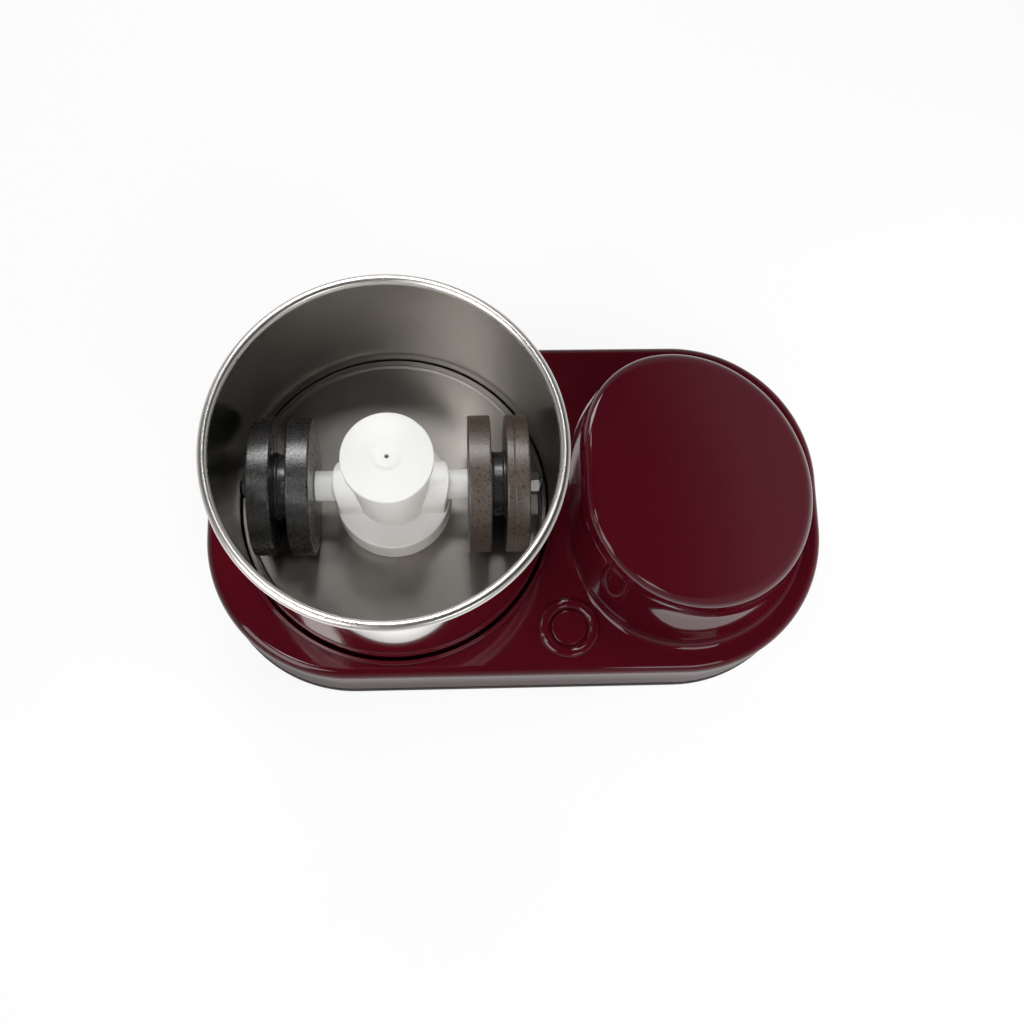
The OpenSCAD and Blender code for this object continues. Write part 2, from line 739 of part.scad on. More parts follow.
// Run capacitor on its side in a clip at the right end of the pan
capacitor_in = 26;
capacitor_x = tower_x + tower_r - capacitor_in;
capacitor_gap = 2;
capacitor_z = pan_top + capacitor_r + capacitor_gap;
clip_w = 14;
clip_t = 1.5;
clip_ear = 8;
module run_capacitor() {
  color(satin) translate([capacitor_x, -capacitor_l / 2, capacitor_z]) rotate([-90, 0, 0]) {
    cylinder(r = capacitor_r, h = capacitor_l);
    spades();
  }
}
module capacitor_clip() {
  color(zinc) translate([capacitor_x, -clip_w / 2, 0]) difference() {
    union() {
      translate([0, 0, capacitor_z]) rotate([-90, 0, 0])
        cylinder(r = capacitor_r + snug + clip_t, h = clip_w);
      translate([-capacitor_r - clip_ear, 0, pan_top]) cube([2 * (capacitor_r + clip_ear), clip_w, clip_t]);
      translate([-capacitor_r - clip_t, 0, pan_top])
        cube([2 * (capacitor_r + clip_t), clip_w, capacitor_z - pan_top]);
    }
    translate([0, -cut, capacitor_z]) rotate([-90, 0, 0])
      cylinder(r = capacitor_r + snug, h = clip_w + 2 * cut);
  }
}

// Terminal block with its screw pockets, at the back of the pan
terminal_n = 4;
terminal_pitch = 9;
terminal_w = 18;
terminal_h = 16;
terminal_end = 1.5;
terminal_in = 40;
terminal_x = gland_x + terminal_in;
terminal_y = base_half - terminal_in;
terminal_hole = 4;
terminal_hole_z = 7;
terminal_screw_r = 2.6;
module terminal_block() {
  color(nylon) translate([terminal_x, terminal_y - terminal_w / 2, pan_top]) difference() {
    cube([terminal_n * terminal_pitch + 2 * terminal_end, terminal_w, terminal_h]);
    for (i = [0 : terminal_n - 1]) translate([terminal_end + (i + 0.5) * terminal_pitch, 0, 0]) {
      translate([0, terminal_w / 2, terminal_hole_z - cut]) cylinder(r = terminal_screw_r, h = terminal_h);
      translate([-terminal_hole / 2, -cut, terminal_hole_z])
        cube([terminal_hole, terminal_w + 2 * cut, terminal_hole]);
    }
  }
}

// Gland for the mains lead, in the back of the skirt
gland_l = 12;
gland_hole_r = 3.6;
gland_collar_w = 3;
gland_collar_h = 4;
module cord_gland() {
  color(rubber_black) translate([gland_x, base_half, gland_z]) rotate([90, 0, 0]) difference() {
    union() {
      cylinder(r = gland_r, h = gland_l);
      translate([0, 0, wall + skirt_draft]) cylinder(r = gland_r + gland_collar_w, h = gland_collar_h);
    }
    translate([0, 0, -cut]) cylinder(r = gland_hole_r, h = gland_l + 2 * cut);
  }
}

// Flat belt around the two pulleys
belt_gap = clear;
module belt_loop(offset_r, h) {
  linear_extrude(h) hull() {
    translate([drum_x, 0]) circle(r = pulley_r + offset_r, $fn = 72);
    translate([motor_x, 0]) circle(r = motor_pulley_r + offset_r, $fn = 72);
  }
}
module drive_belt() {
  color(rubber_black) difference() {
    translate([0, 0, belt_z - belt_w / 2]) belt_loop(belt_gap + belt_t, belt_w);
    translate([0, 0, belt_z - belt_w / 2 - cut]) belt_loop(belt_gap, belt_w + 2 * cut);
  }
}

// Large pulley: flanged rim, a web with lightening holes, and a hub that fits the drive hub
pulley_flange = 1.5;
belt_side = 0.8;
belt_sunk = 0.4;
pulley_half = belt_w / 2 + belt_side + pulley_flange;
flange_rise = belt_t + belt_gap + belt_sunk;
rim_t = 5;
web_t = 4;
web_hole_n = 6;
web_hole_r = 16;
pulley_screw_n = 3;
pulley_screw_r = 2;
pulley_screw_head_r = 3.6;
pulley_screw_head_t = 2.5;
pulley_screw_out = 7;
pulley_screw_circle = hub_r + pulley_screw_out;
collar_w = 12;
collar_r = hub_r + collar_w;
module pulley_screw_ring() {
  for (i = [0 : pulley_screw_n - 1]) rotate([0, 0, 360 * i / pulley_screw_n])
    translate([pulley_screw_circle, 0, 0]) children();
}
module drive_pin_ring() {
  for (i = [0 : pin_n - 1]) rotate([0, 0, 360 * i / pin_n]) translate([pin_circle, 0, 0]) children();
}
module drive_pulley() {
  color(satin) translate([drum_x, 0, belt_z]) difference() {
    rotate_extrude() polygon([[hub_r + snug, -pulley_half], [collar_r, -pulley_half],
      [collar_r, -web_t / 2], [pulley_r - rim_t, -web_t / 2], [pulley_r - rim_t, -pulley_half],
      [pulley_r + flange_rise, -pulley_half], [pulley_r + flange_rise, pulley_flange - pulley_half],
      [pulley_r, pulley_flange - pulley_half], [pulley_r, pulley_half - pulley_flange],
      [pulley_r + flange_rise, pulley_half - pulley_flange], [pulley_r + flange_rise, pulley_half],
      [pulley_r - rim_t, pulley_half], [pulley_r - rim_t, web_t / 2], [collar_r, web_t / 2],
      [collar_r, pulley_half], [hub_r + snug, pulley_half]]);
    for (i = [0 : web_hole_n - 1]) rotate([0, 0, 360 * i / web_hole_n])
      translate([(collar_r + pulley_r - rim_t) / 2, 0, -web_t]) cylinder(r = web_hole_r, h = 2 * web_t);
    pulley_screw_ring() translate([0, 0, -pulley_half - cut])
      cylinder(r = pulley_screw_r + snug, h = 2 * pulley_half + 2 * cut);
  }
}

// Drive hub on the shaft: bearing seats, a shoulder for the pulley and the top plate
hub_shoulder_z = belt_z + pulley_half;
shoulder_t = 3;
shoulder_in = 1;
shaft_gap = 1.5;
module drive_hub() {
  color(zinc) translate([drum_x, 0, 0]) difference() {
    rotate_extrude() polygon([[bearing_r + snug, hub_z], [hub_r, hub_z], [hub_r, hub_shoulder_z],
      [collar_r - shoulder_in, hub_shoulder_z], [collar_r - shoulder_in, hub_shoulder_z + shoulder_t],
      [hub_r, hub_shoulder_z + shoulder_t], [hub_r, well_z + plate_gap], [plate_r, well_z + plate_gap],
      [plate_r, plate_top], [shaft_r + shaft_gap, plate_top], [shaft_r + shaft_gap, plate_top - plate_t],
      [bearing_r + snug, plate_top - plate_t]]);
    drive_pin_ring() translate([0, 0, well_z]) cylinder(r = pin_r + snug, h = plate_gap + plate_t + cut);
    pulley_screw_ring() translate([0, 0, hub_shoulder_z - cut])
      cylinder(r = pulley_screw_r + snug, h = shoulder_t + 2 * cut);
  }
}
module pulley_screws() {
  color(zinc) translate([drum_x, 0, belt_z - pulley_half]) pulley_screw_ring() {
    cylinder(r = pulley_screw_r, h = 2 * pulley_half + shoulder_t);
    translate([0, 0, -pulley_screw_head_t]) cylinder(r = pulley_screw_head_r, h = pulley_screw_head_t);
  }
}

// Two ball bearings with their races shown by a groove on each face
race_t = 2.5;
race_step = 1;
module hub_bearings() {
  upper_z = plate_top - plate_t - bearing_w;
  color(steel) for (z = [hub_z, upper_z]) translate([drum_x, 0, z]) difference() {
    ring(bearing_r, shaft_r + running, bearing_w);
    for (s = [-race_step, bearing_w - race_step]) translate([0, 0, s])
      ring(bearing_r - race_t, shaft_r + race_t, 2 * race_step);
  }
}
pin_short = 1.8;
pin_bevel = 1.2;
module drive_pins() {
  pin_l = plate_t + boss_t - pin_short;
  color(steel) translate([drum_x, 0, well_z + plate_gap]) drive_pin_ring() rotate_extrude()
    polygon([[0, 0], [pin_r, 0], [pin_r, pin_l - pin_bevel], [pin_r - pin_bevel, pin_l], [0, pin_l]]);
}

// Rotor, its shaft, the small pulley and the fan
shaft_past = 4;
motor_shaft_z = belt_z - pulley_half - shaft_past;
fan_z = stator_top + bracket_rise + fan_space;
fan_hub_r = 10;
fan_hub_h = 8;
fan_disc_t = 1.6;
blade_t = 1.6;
blade_h = 6;
blade_edge = 2;
shaft_proud = 1;
motor_shaft_top = fan_z + fan_hub_h + shaft_proud;
module rotor_core() {
  color(satin) translate([motor_x, 0, stator_z]) ring(rotor_r, motor_shaft_r + snug, stator_h);
}
module motor_shaft() {
  color(steel) translate([motor_x, 0, motor_shaft_z])
    cylinder(r = motor_shaft_r, h = motor_shaft_top - motor_shaft_z);
}
module motor_pulley() {
  color(satin) translate([motor_x, 0, belt_z]) rotate_extrude() polygon([[motor_shaft_r + snug, -pulley_half],
    [motor_pulley_r + flange_rise, -pulley_half], [motor_pulley_r + flange_rise, pulley_flange - pulley_half],
    [motor_pulley_r, pulley_flange - pulley_half], [motor_pulley_r, pulley_half - pulley_flange],
    [motor_pulley_r + flange_rise, pulley_half - pulley_flange], [motor_pulley_r + flange_rise, pulley_half],
    [motor_shaft_r + snug, pulley_half]]);
}
module cooling_fan() {
  root = fan_hub_r - blade_t;
  color(nylon) translate([motor_x, 0, fan_z]) {
    ring(fan_r, motor_shaft_r + snug, fan_disc_t);
    ring(fan_hub_r, motor_shaft_r + snug, fan_hub_h);
    for (i = [0 : fan_n - 1]) rotate([0, 0, 360 * i / fan_n])
      translate([root, -blade_t / 2, fan_disc_t / 2]) cube([fan_r - blade_edge - root, blade_t, blade_h]);
  }
}

// Drum: a pressed shell with a bent floor edge and a rim rolled around a wire
module drum_shell() {
  inside_r = drum_r - drum_t;
  bead_c = drum_r + bead_r - 2 * drum_t;
  from_wall = 180 + acos((bead_c - drum_r) / bead_r);
  to_wall = 540 + acos((bead_c - inside_r) / bead_r);
  color(steel) translate([drum_x, 0, 0]) rotate_extrude() polygon(concat(
    [[chimney_r + snug, drum_z]],
    arc(drum_r - drum_bend, drum_z + drum_bend, drum_bend, -90, 0, 6),
    arc(bead_c, rim_z - bead_r, bead_r, from_wall, to_wall, 20),
    arc(drum_r - drum_bend, drum_z + drum_bend, drum_bend - drum_t, 0, -90, 6),
    [[chimney_r + snug, bed_z]]));
}

// Boss under the drum, with a socket for each drive pin
boss_bevel = 2;
socket_top = 1.5;
module drum_boss() {
  color(zinc) translate([drum_x, 0, drum_z - boss_t]) difference() {
    rotate_extrude() polygon([[chimney_r + snug, 0], [boss_r - boss_bevel, 0], [boss_r, boss_bevel],
      [boss_r, boss_t], [chimney_r + snug, boss_t]]);
    drive_pin_ring() translate([0, 0, -cut])
      cylinder(r = pin_r + 2 * running, h = boss_t - socket_top + cut);
  }
}

// Chimney around the shaft, with the bush that guides it at the top
bush_l = 16;
module drum_chimney() {
  color(steel) translate([drum_x, 0, drum_z - boss_t])
    ring(chimney_r, chimney_in, chimney_top - drum_z + boss_t);
}
module chimney_bush() {
  color(brass) translate([drum_x, 0, chimney_top - bush_l]) ring(chimney_in - snug, shaft_r + running, bush_l);
}

// Grinding bed with a rounded rim, and the seal where it meets the chimney
bed_round = 2;
seal_w = 3;
seal_rise = 0.8;
module grinding_bed() {
  color(satin) translate([drum_x, 0, 0]) rotate_extrude() polygon(concat(
    [[chimney_r + seal_w, bed_z], [bed_r, bed_z]],
    arc(bed_r - bed_round, bed_top - bed_round, bed_round, 0, 90, 5), [[chimney_r + seal_w, bed_top]]));
}
module drum_seal() {
  inner = chimney_r + snug;
  outer = chimney_r + seal_w - snug;
  color(rubber_black) translate([drum_x, 0, bed_z]) rotate_extrude()
    polygon([[inner, 0], [outer, 0], [outer, bed_t], [inner, bed_t + seal_rise]]);
}

// Washer that the roller holder bears on
module thrust_washer() {
  color(brass) translate([drum_x, 0, washer_z]) ring(chimney_r, shaft_r + running, washer_t);
}

// Roller holder: a flange, a neck, and two arms on saddles whose faces follow the flange
flange_foot = 1.5;
flange_round = 1.2;
neck_fillet = 4;
neck_round = 2;
module roller_holder() {
  flange_top = holder_z + flange_h;
  color(nylon) translate([drum_x, 0, 0]) difference() {
    union() {
      rotate_extrude() polygon(concat([[0, holder_z]],
        arc(flange_r - flange_foot, holder_z + flange_foot, flange_foot, -90, 0, 3),
        arc(flange_r - flange_round, flange_top - flange_round, flange_round, 0, 90, 4),
        arc(neck_r + neck_fillet, flange_top + neck_fillet, neck_fillet, -90, -180, 4),
        arc(neck_r - neck_round, holder_top - neck_round, neck_round, 0, 90, 4), [[0, holder_top]]));
      intersection() {
        translate([0, 0, holder_z + flange_foot])
          cylinder(r = flange_r - flange_round, h = holder_top - holder_z);
        union() {
          translate([-flange_r, 0, axle_z]) rotate([0, 90, 0]) cylinder(r = saddle_r, h = 2 * flange_r);
          translate([-flange_r, -saddle_r, flange_top - flange_round])
            cube([2 * flange_r, 2 * saddle_r, axle_z - flange_top + flange_round]);
        }
      }
      translate([-arm_end, 0, axle_z]) rotate([0, 90, 0]) cylinder(r = arm_r, h = 2 * arm_end);
    }
    translate([0, 0, holder_z - cut]) cylinder(r = holder_bore, h = seat_z - holder_z + cut);
    translate([0, 0, seat_z - cut])
      keyed(shaft_r + running, key_w + 2 * running, holder_top - seat_z + 2 * cut);
    for (s = [0, 180]) rotate([0, 0, s]) translate([axle_in, 0, axle_z]) rotate([0, 90, 0])
      cylinder(r = axle_r + snug, h = roller_in);
  }
}

// Axles screwed into the holder, and the washers and nuts at their ends
module both_sides() {
  for (s = [0, 180]) translate([drum_x, 0, axle_z]) rotate([0, 0, s]) rotate([0, 90, 0]) children();
}
nut_x = roller_out + axle_washer_t + 2 * clear;
module axle_rods() {
  color(steel) both_sides() translate([0, 0, axle_in])
    cylinder(r = axle_r, h = nut_x + nut_t + rod_end - axle_in);
}
module axle_washers() {
  color(steel) both_sides() for (x = [roller_in - axle_washer_t - clear, roller_out + clear])
    translate([0, 0, x]) ring(axle_washer_r, axle_r + snug, axle_washer_t);
}
module axle_nuts() {
  color(zinc) both_sides() translate([0, 0, nut_x - clear]) difference() {
    cylinder(r = nut_r, h = nut_t, $fn = 6);
    translate([0, 0, -cut]) cylinder(r = axle_r + snug, h = nut_t + 2 * cut);
  }
}

// Lock knob on the tip of the shaft: a disc with a sunk centre
knob_edge = 1.2;
knob_sink_r = 9.5;
knob_sink = 1.5;
knob_sink_slope = 0.6;
knob_hole_r = 1.6;
knob_boss_in = 1;
module lock_knob() {
  disc_z = knob_z + knob_boss_h;
  boss = neck_r - knob_boss_in;
  color(nylon) translate([drum_x, 0, 0]) rotate_extrude() polygon(concat(
    [[tip_r + running, knob_z], [boss, knob_z], [boss, disc_z]],
    arc(knob_r - knob_edge, disc_z + knob_edge, knob_edge, -90, 0, 4),
    arc(knob_r - knob_edge, knob_top - knob_edge, knob_edge, 0, 90, 4),
    [[knob_sink_r + knob_sink_slope, knob_top], [knob_sink_r, knob_top - knob_sink],
     [knob_hole_r, knob_top - knob_sink], [knob_hole_r, knob_top - tip_cover],
     [tip_r + running, knob_top - tip_cover]]));
}

// One roller's pieces, placed along its axle: stone discs, a waisted spool and two bushes
module along_axle(side, x) {
  translate([drum_x, 0, axle_z]) rotate([0, 0, side]) rotate([0, 90, 0]) translate([0, 0, x]) children();
}
module stone(colour, side, x) {
  color(colour) along_axle(side, x) rotate_extrude()
    polygon(concat([[bush_r + snug, 0]],
      arc(stone_r - stone_edge, stone_edge, stone_edge, -90, 0, 4),
      arc(stone_r - stone_edge, stone_t - stone_edge, stone_edge, 0, 90, 4), [[bush_r + snug, stone_t]]));
}
spool_waist = 1.2;
spool_edge = 1;
module spool(side) {
  waist_r = spool_r - spool_waist;
  color(rubber_black) along_axle(side, roller_in + stone_t) rotate_extrude()
    polygon([[bush_r + snug, 0], [spool_r, 0], [spool_r, spool_edge], [waist_r, 2 * spool_edge],
      [waist_r, spool_l - 2 * spool_edge], [spool_r, spool_l - spool_edge], [spool_r, spool_l],
      [bush_r + snug, spool_l]]);
}
bush_apart = 2;
module bushes(side) {
  l = stone_t + (spool_l - bush_apart) / 2;
  color(brass) for (x = [roller_in, roller_out - l]) along_axle(side, x) ring(bush_r, axle_r + running, l);
}
module left_inner_stone() { stone(granite_dark, 180, roller_in); }
module left_outer_stone() { stone(granite_dark, 180, roller_in + stone_t + spool_l); }
module left_spool() { spool(180); }
module left_bushes() { bushes(180); }
module right_inner_stone() { stone(granite_brown, 0, roller_in); }
module right_outer_stone() { stone(granite_brown, 0, roller_in + stone_t + spool_l); }
module right_spool() { spool(0); }
module right_bushes() { bushes(0); }

base_pan();
rubber_feet();
top_housing();
motor_cap();
housing_screws();
button_bezel();
bezel_nut();
switch_body();
centre_shaft();
shaft_flange();
flange_bolts();
motor_plate();
plate_posts();
motor_mounts();
plate_screws();
motor_lower_bracket();
motor_stator();
motor_windings();
motor_upper_bracket();
motor_bolts();
run_capacitor();
capacitor_clip();
terminal_block();
cord_gland();
drive_belt();
drive_pulley();
drive_hub();
hub_bearings();
drive_pins();
pulley_screws();
rotor_core();
motor_shaft();
motor_pulley();
cooling_fan();
drum_shell();
drum_boss();
drum_chimney();
chimney_bush();
grinding_bed();
drum_seal();
thrust_washer();
roller_holder();
axle_rods();
axle_washers();
axle_nuts();
lock_knob();
left_inner_stone();
left_outer_stone();
left_spool();
left_bushes();
right_inner_stone();
right_outer_stone();
right_spool();
right_bushes();
push_button();
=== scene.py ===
"""Looks of a tabletop wet grinder: a gloss maroon housing with a sloping motor lid, a steel drum
with stone rollers on a white holder, and a plain white stage. All lengths are in metres."""

import json
import math

import bpy
import numpy as np
from mathutils import Matrix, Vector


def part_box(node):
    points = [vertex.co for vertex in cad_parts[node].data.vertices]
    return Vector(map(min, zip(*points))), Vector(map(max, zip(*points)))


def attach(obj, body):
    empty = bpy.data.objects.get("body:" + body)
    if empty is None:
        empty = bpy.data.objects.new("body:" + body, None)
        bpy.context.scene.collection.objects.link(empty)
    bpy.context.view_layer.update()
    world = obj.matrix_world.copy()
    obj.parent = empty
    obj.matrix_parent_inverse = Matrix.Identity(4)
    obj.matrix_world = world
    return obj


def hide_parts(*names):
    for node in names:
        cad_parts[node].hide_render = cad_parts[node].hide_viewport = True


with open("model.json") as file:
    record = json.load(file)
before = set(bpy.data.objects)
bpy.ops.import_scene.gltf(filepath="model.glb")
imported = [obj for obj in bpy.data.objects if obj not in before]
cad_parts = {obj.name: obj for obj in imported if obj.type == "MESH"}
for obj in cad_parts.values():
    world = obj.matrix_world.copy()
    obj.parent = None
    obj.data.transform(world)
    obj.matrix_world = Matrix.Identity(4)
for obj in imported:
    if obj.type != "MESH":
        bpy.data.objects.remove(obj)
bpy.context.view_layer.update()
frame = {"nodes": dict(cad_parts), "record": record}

bl_info = {
    "name": "Wet Grinder Looks",
    "version": (1, 0, 0),
    "blender": (4, 5, 0),
    "location": "View3D > Sidebar > Grinder",
    "description": "Builds the finished surfaces and materials of a tabletop wet grinder",
    "category": "Object",
}

TURN = 2 * math.pi


def corners(node):
    """Lowest and highest corner of a solid at rest, as arrays."""
    low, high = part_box(node)
    return np.array(low), np.array(high)


def middle(node, axis):
    """Middle of a solid along one axis."""
    low, high = corners(node)
    return float(low[axis] + high[axis]) / 2


def half(node, axis):
    """Half the width of a solid along one axis."""
    low, high = corners(node)
    return float(high[axis] - low[axis]) / 2


def bottom(node):
    """Lowest height of a solid."""
    return float(corners(node)[0][2])


def top(node):
    """Highest height of a solid."""
    return float(corners(node)[1][2])


# Places and sizes taken from the solids
BASE_HALF = half("top_housing", 1)
BASE_END = half("top_housing", 0)
SKIRT_Z = bottom("top_housing")
DRUM_X = middle("drum_shell", 0)
RIM_R = half("drum_shell", 0)
TOWER_R = half("motor_cap", 1)
TOWER_X = float(corners("motor_cap")[1][0]) - TOWER_R
TOWER_FLAT = TOWER_X - float(corners("motor_cap")[0][0])
BUTTON_X = middle("push_button", 0)
BUTTON_Y = middle("push_button", 1)
AXLE_Z = middle("left_inner_stone", 2)

# Clearance of a piece that sits on or in another
SNUG = 0.00002

# Distances from a rounding at which extra rings keep the flat beside it flat
EDGE_SUPPORT = np.array([0.0004, 0.0008])
LIP_SUPPORT = np.array([0.0003, 0.0008])
SEAM_SUPPORT = 0.0006

# Lamps: name, place, width and height, the setting of its power, and whether gloss mirrors it
LAMPS = (
    ("key_lamp", (-0.75, -0.66, 0.95), (0.7, 0.8), "key_power", True),
    ("back_lamp", (-0.28, 0.9, 1.16), (0.7, 0.52), "back_power", True),
    ("front_lamp", (0.4, -0.9, 0.85), (0.4, 0.3), "front_power", True),
    ("fill_lamp", (0.25, -0.72, 1.05), (0.5, 0.4), "fill_power", False),
    ("side_lamp", (0.6, -0.12, 0.35), (0.3, 0.3), "side_power", False),
    ("wall_spot", (-0.42, -0.15, 1.3), (0.16, 0.16), "spot_power", True),
    ("bed_spot", (-0.02, 0.45, 1.3), (0.16, 0.16), "spot_power", True),
)
LAMPS_AIM = (0.0, 0.0, 0.1)


def length_prop(name, description, default):
    """A length that a user can set."""
    return bpy.props.FloatProperty(name=name, description=description, default=default, unit="LENGTH")


def angle_prop(name, description, degrees):
    """An angle that a user can set."""
    return bpy.props.FloatProperty(
        name=name, description=description, default=math.radians(degrees), subtype="ANGLE")


def power_prop(name, description, default):
    """A lamp's power that a user can set."""
    return bpy.props.FloatProperty(name=name, description=description, default=default, subtype="POWER")


def number_prop(name, description, default):
    """A plain number that a user can set."""
    return bpy.props.FloatProperty(name=name, description=description, default=default)


def colour_prop(name, description, default):
    """A linear colour that a user can set."""
    return bpy.props.FloatVectorProperty(
        name=name, description=description, default=default, subtype="COLOR", size=3)


class GrinderSizes(bpy.types.PropertyGroup):
    """Sizes of the finished surfaces that the solids' boxes don't give."""

    wall: length_prop("Wall", "Wall thickness of the moulded housing", 0.003)
    base_corner: length_prop("Base corner", "Corner radius of the base, seen from above", 0.1)
    skirt_draft: length_prop("Skirt draft", "How far the skirt leans in from foot to deck", 0.0002)
    deck_round: length_prop("Deck rounding", "Rounding of the deck's edge", 0.0065)
    drum_gap: length_prop("Drum gap", "Gap between the drum and its well", 0.0013)
    lip_width: length_prop("Lip width", "Width of the lip around the well", 0.003)
    lip_height: length_prop("Lip height", "Height of the lip above the deck", 0.0025)
    well_depth: length_prop("Well depth", "Depth of the well below the deck", 0.014)
    well_hole: length_prop("Well hole", "Radius of the hole in the well's floor", 0.025)
    tower_corner: length_prop("Tower corner", "Corner radius of the tower's flattened side", 0.073)
    tower_foot: length_prop("Tower foot", "Fillet where the tower's front meets the deck", 0.008)
    tower_flare: length_prop("Tower flare", "How far the tower's front leans out to its foot", 0.0118)
    lid_tilt: angle_prop("Lid tilt", "Slope of the lid, down to the right", 21.8)
    lid_band: length_prop("Lid side", "Depth of the lid's side, straight down", 0.018)
    lid_round: length_prop("Lid shoulder", "Rounding of the lid's shoulder", 0.0075)
    lid_draft: length_prop("Lid draft", "How far the lid's side leans in up to its shoulder", 0.0014)
    lid_crown: length_prop("Lid crown", "Rise of the lid's middle above its plane", 0.0012)
    lid_seam: length_prop("Lid seam", "Chamfer on each side of the seam under the lid", 0.0005)
    sheet: length_prop("Drum sheet", "Thickness of the drum's steel sheet", 0.001)
    bead: length_prop("Rim bead", "Radius of the drum's rolled rim", 0.0032)
    drum_bend: length_prop("Drum bend", "Bend between the drum's wall and floor", 0.004)
    flange_height: length_prop("Flange height", "Height of the roller holder's flange", 0.0275)
    neck_radius: length_prop("Neck radius", "Radius of the roller holder's neck", 0.0248)
    saddle: length_prop("Saddle", "Half width and top radius of each saddle", 0.0155)
    arm: length_prop("Arm", "Radius of each arm of the roller holder", 0.0098)
    knob_disc: length_prop("Knob disc", "Thickness of the lock knob's disc", 0.0065)
    knob_dome: length_prop("Knob dome", "Rise of the knob's middle above its edge", 0.0045)
    stone_edge: length_prop("Stone edge", "Rounding of the stones' edges", 0.0011)
    thread_pitch: length_prop("Thread pitch", "Pitch of the thread on the axle ends", 0.0015)


class GrinderColours(bpy.types.PropertyGroup):
    """Base colours of the finishes, as linear values."""

    maroon: colour_prop("Maroon", "Gloss housing, lid, bezel and button", (0.053, 0.0024, 0.006))
    nylon: colour_prop("Nylon", "Roller holder and lock knob", (0.8, 0.8, 0.785))
    steel: colour_prop("Drum steel", "Drum wall and rim", (0.72, 0.695, 0.665))
    bed: colour_prop("Bed steel", "Turned face of the grinding bed", (0.46, 0.43, 0.4))
    granite_dark: colour_prop("Dark granite", "Left pair of stones", (0.012, 0.0118, 0.0115))
    granite_brown: colour_prop("Brown granite", "Right pair of stones", (0.05, 0.036, 0.026))
    pan: colour_prop("Pan", "Base pan and other grey mouldings", (0.05, 0.049, 0.048))
    black: colour_prop("Black", "Rubber and black mouldings", (0.016, 0.016, 0.016))
    zinc: colour_prop("Zinc", "Plated screws, nuts and plates", (0.6, 0.61, 0.62))
    alloy: colour_prop("Cast alloy", "Hub, pulleys and motor brackets", (0.5, 0.5, 0.51))
    brass: colour_prop("Brass", "Bushes and the thrust washer", (0.62, 0.43, 0.17))
    copper: colour_prop("Copper", "Motor windings", (0.55, 0.21, 0.08))
    iron: colour_prop("Laminations", "Stator and rotor stacks", (0.19, 0.19, 0.2))


class GrinderStage(bpy.types.PropertyGroup):
    """Camera and light of the stage."""

    azimuth: angle_prop("Azimuth", "Camera's turn around the object", -9.98)
    elevation: angle_prop("Elevation", "Camera's height above the horizon", 75.34)
    roll: angle_prop("Roll", "Camera's turn about its own axis", 8.8)
    distance: length_prop("Distance", "Camera's distance from its target", 0.92242)
    target: bpy.props.FloatVectorProperty(
        name="Target", description="Point that the camera looks at", default=(-0.00206, -0.00075, 0.06),
        subtype="XYZ", size=3)
    lens: number_prop("Lens", "Focal length in millimetres on a 36 mm sensor", 45.94)
    ambient: number_prop("Ambient", "Strength of the even light from all sides", 0.09)
    bounce: number_prop("Bounce", "Strength of the light that metal throws on to its neighbours", 2.6)
    key_power: power_prop("Key light", "Power of the tall lamp at the left front", 6.1)
    back_power: power_prop("Back light", "Power of the wide lamp at the back", 9.0)
    front_power: power_prop("Front light", "Power of the lamp at the right front", 1.2)
    fill_power: power_prop("Fill light", "Power of the plain lamp that gloss doesn't show", 4.6)
    side_power: power_prop("Side light", "Power of the near lamp at the right", 2.5)
    spot_power: power_prop("Spot lights", "Power of each small lamp above the drum", 0.6)


def sizes():
    """The scene's sizes."""
    return bpy.context.scene.grinder_sizes


def colours():
    """The scene's colours."""
    return bpy.context.scene.grinder_colours


# Surfaces


def arc(centre, radius, start, end, count):
    """Points of a circle's arc: centre plus radius times (cos, sin) of count even angles, in degrees."""
    angle = np.radians(np.linspace(start, end, count))
    return np.stack([centre[0] + radius * np.cos(angle), centre[1] + radius * np.sin(angle)], axis=1)


def fillet(before, corner, after, radius, count=7):
    """Arc that touches both sides of a corner: its centre lies on the bisector at radius / sin(half
    the angle), and it sweeps from one touching point to the other."""
    if radius <= 0:
        return corner[None]
    to_before = (before - corner) / np.linalg.norm(before - corner)
    to_after = (after - corner) / np.linalg.norm(after - corner)
    half_angle = math.acos(float(np.clip(to_before @ to_after, -1, 1))) / 2
    bisector = (to_before + to_after) / np.linalg.norm(to_before + to_after)
    centre = corner + bisector * radius / math.sin(half_angle)
    first = corner + to_before * radius / math.tan(half_angle) - centre
    last = corner + to_after * radius / math.tan(half_angle) - centre
    start = math.atan2(first[1], first[0])
    sweep = (math.atan2(last[1], last[0]) - start + math.pi) % TURN - math.pi
    return arc(centre, radius, math.degrees(start), math.degrees(start + sweep), count)


def supported(path, gap, closed):
    """A path with two more points on each long side, a gap from its ends, so that smooth shading
    stays flat on the side."""
    following = np.roll(path, -1, axis=0) if closed else np.vstack([path[1:], path[-1:]])
    step = following - path
    length = np.linalg.norm(step, axis=1, keepdims=True)
    is_long = length[:, 0] > 4 * gap
    unit = step / np.maximum(length, 1e-9)
    rows = np.stack([path, path + unit * gap, following - unit * gap], axis=1)
    keep = np.stack([np.ones(len(path), bool), is_long, is_long], axis=1)
    return rows[keep]


def profile(points, closed=True, gap=0.0004):
    """A path through corner points (a, b, fillet radius), each corner replaced by its fillet."""
    points = np.array(points, float)
    before = np.roll(points[:, :2], 1, axis=0)
    after = np.roll(points[:, :2], -1, axis=0)
    radii = points[:, 2].copy()
    if not closed:
        radii[[0, -1]] = 0
    rounded = [fillet(b, p, a, r) for b, p, a, r in zip(before, points[:, :2], after, radii)]
    return supported(np.vstack(rounded), gap, closed)


def around(count):
    """Even angles of one turn."""
    return np.linspace(0, TURN, count, endpoint=False)


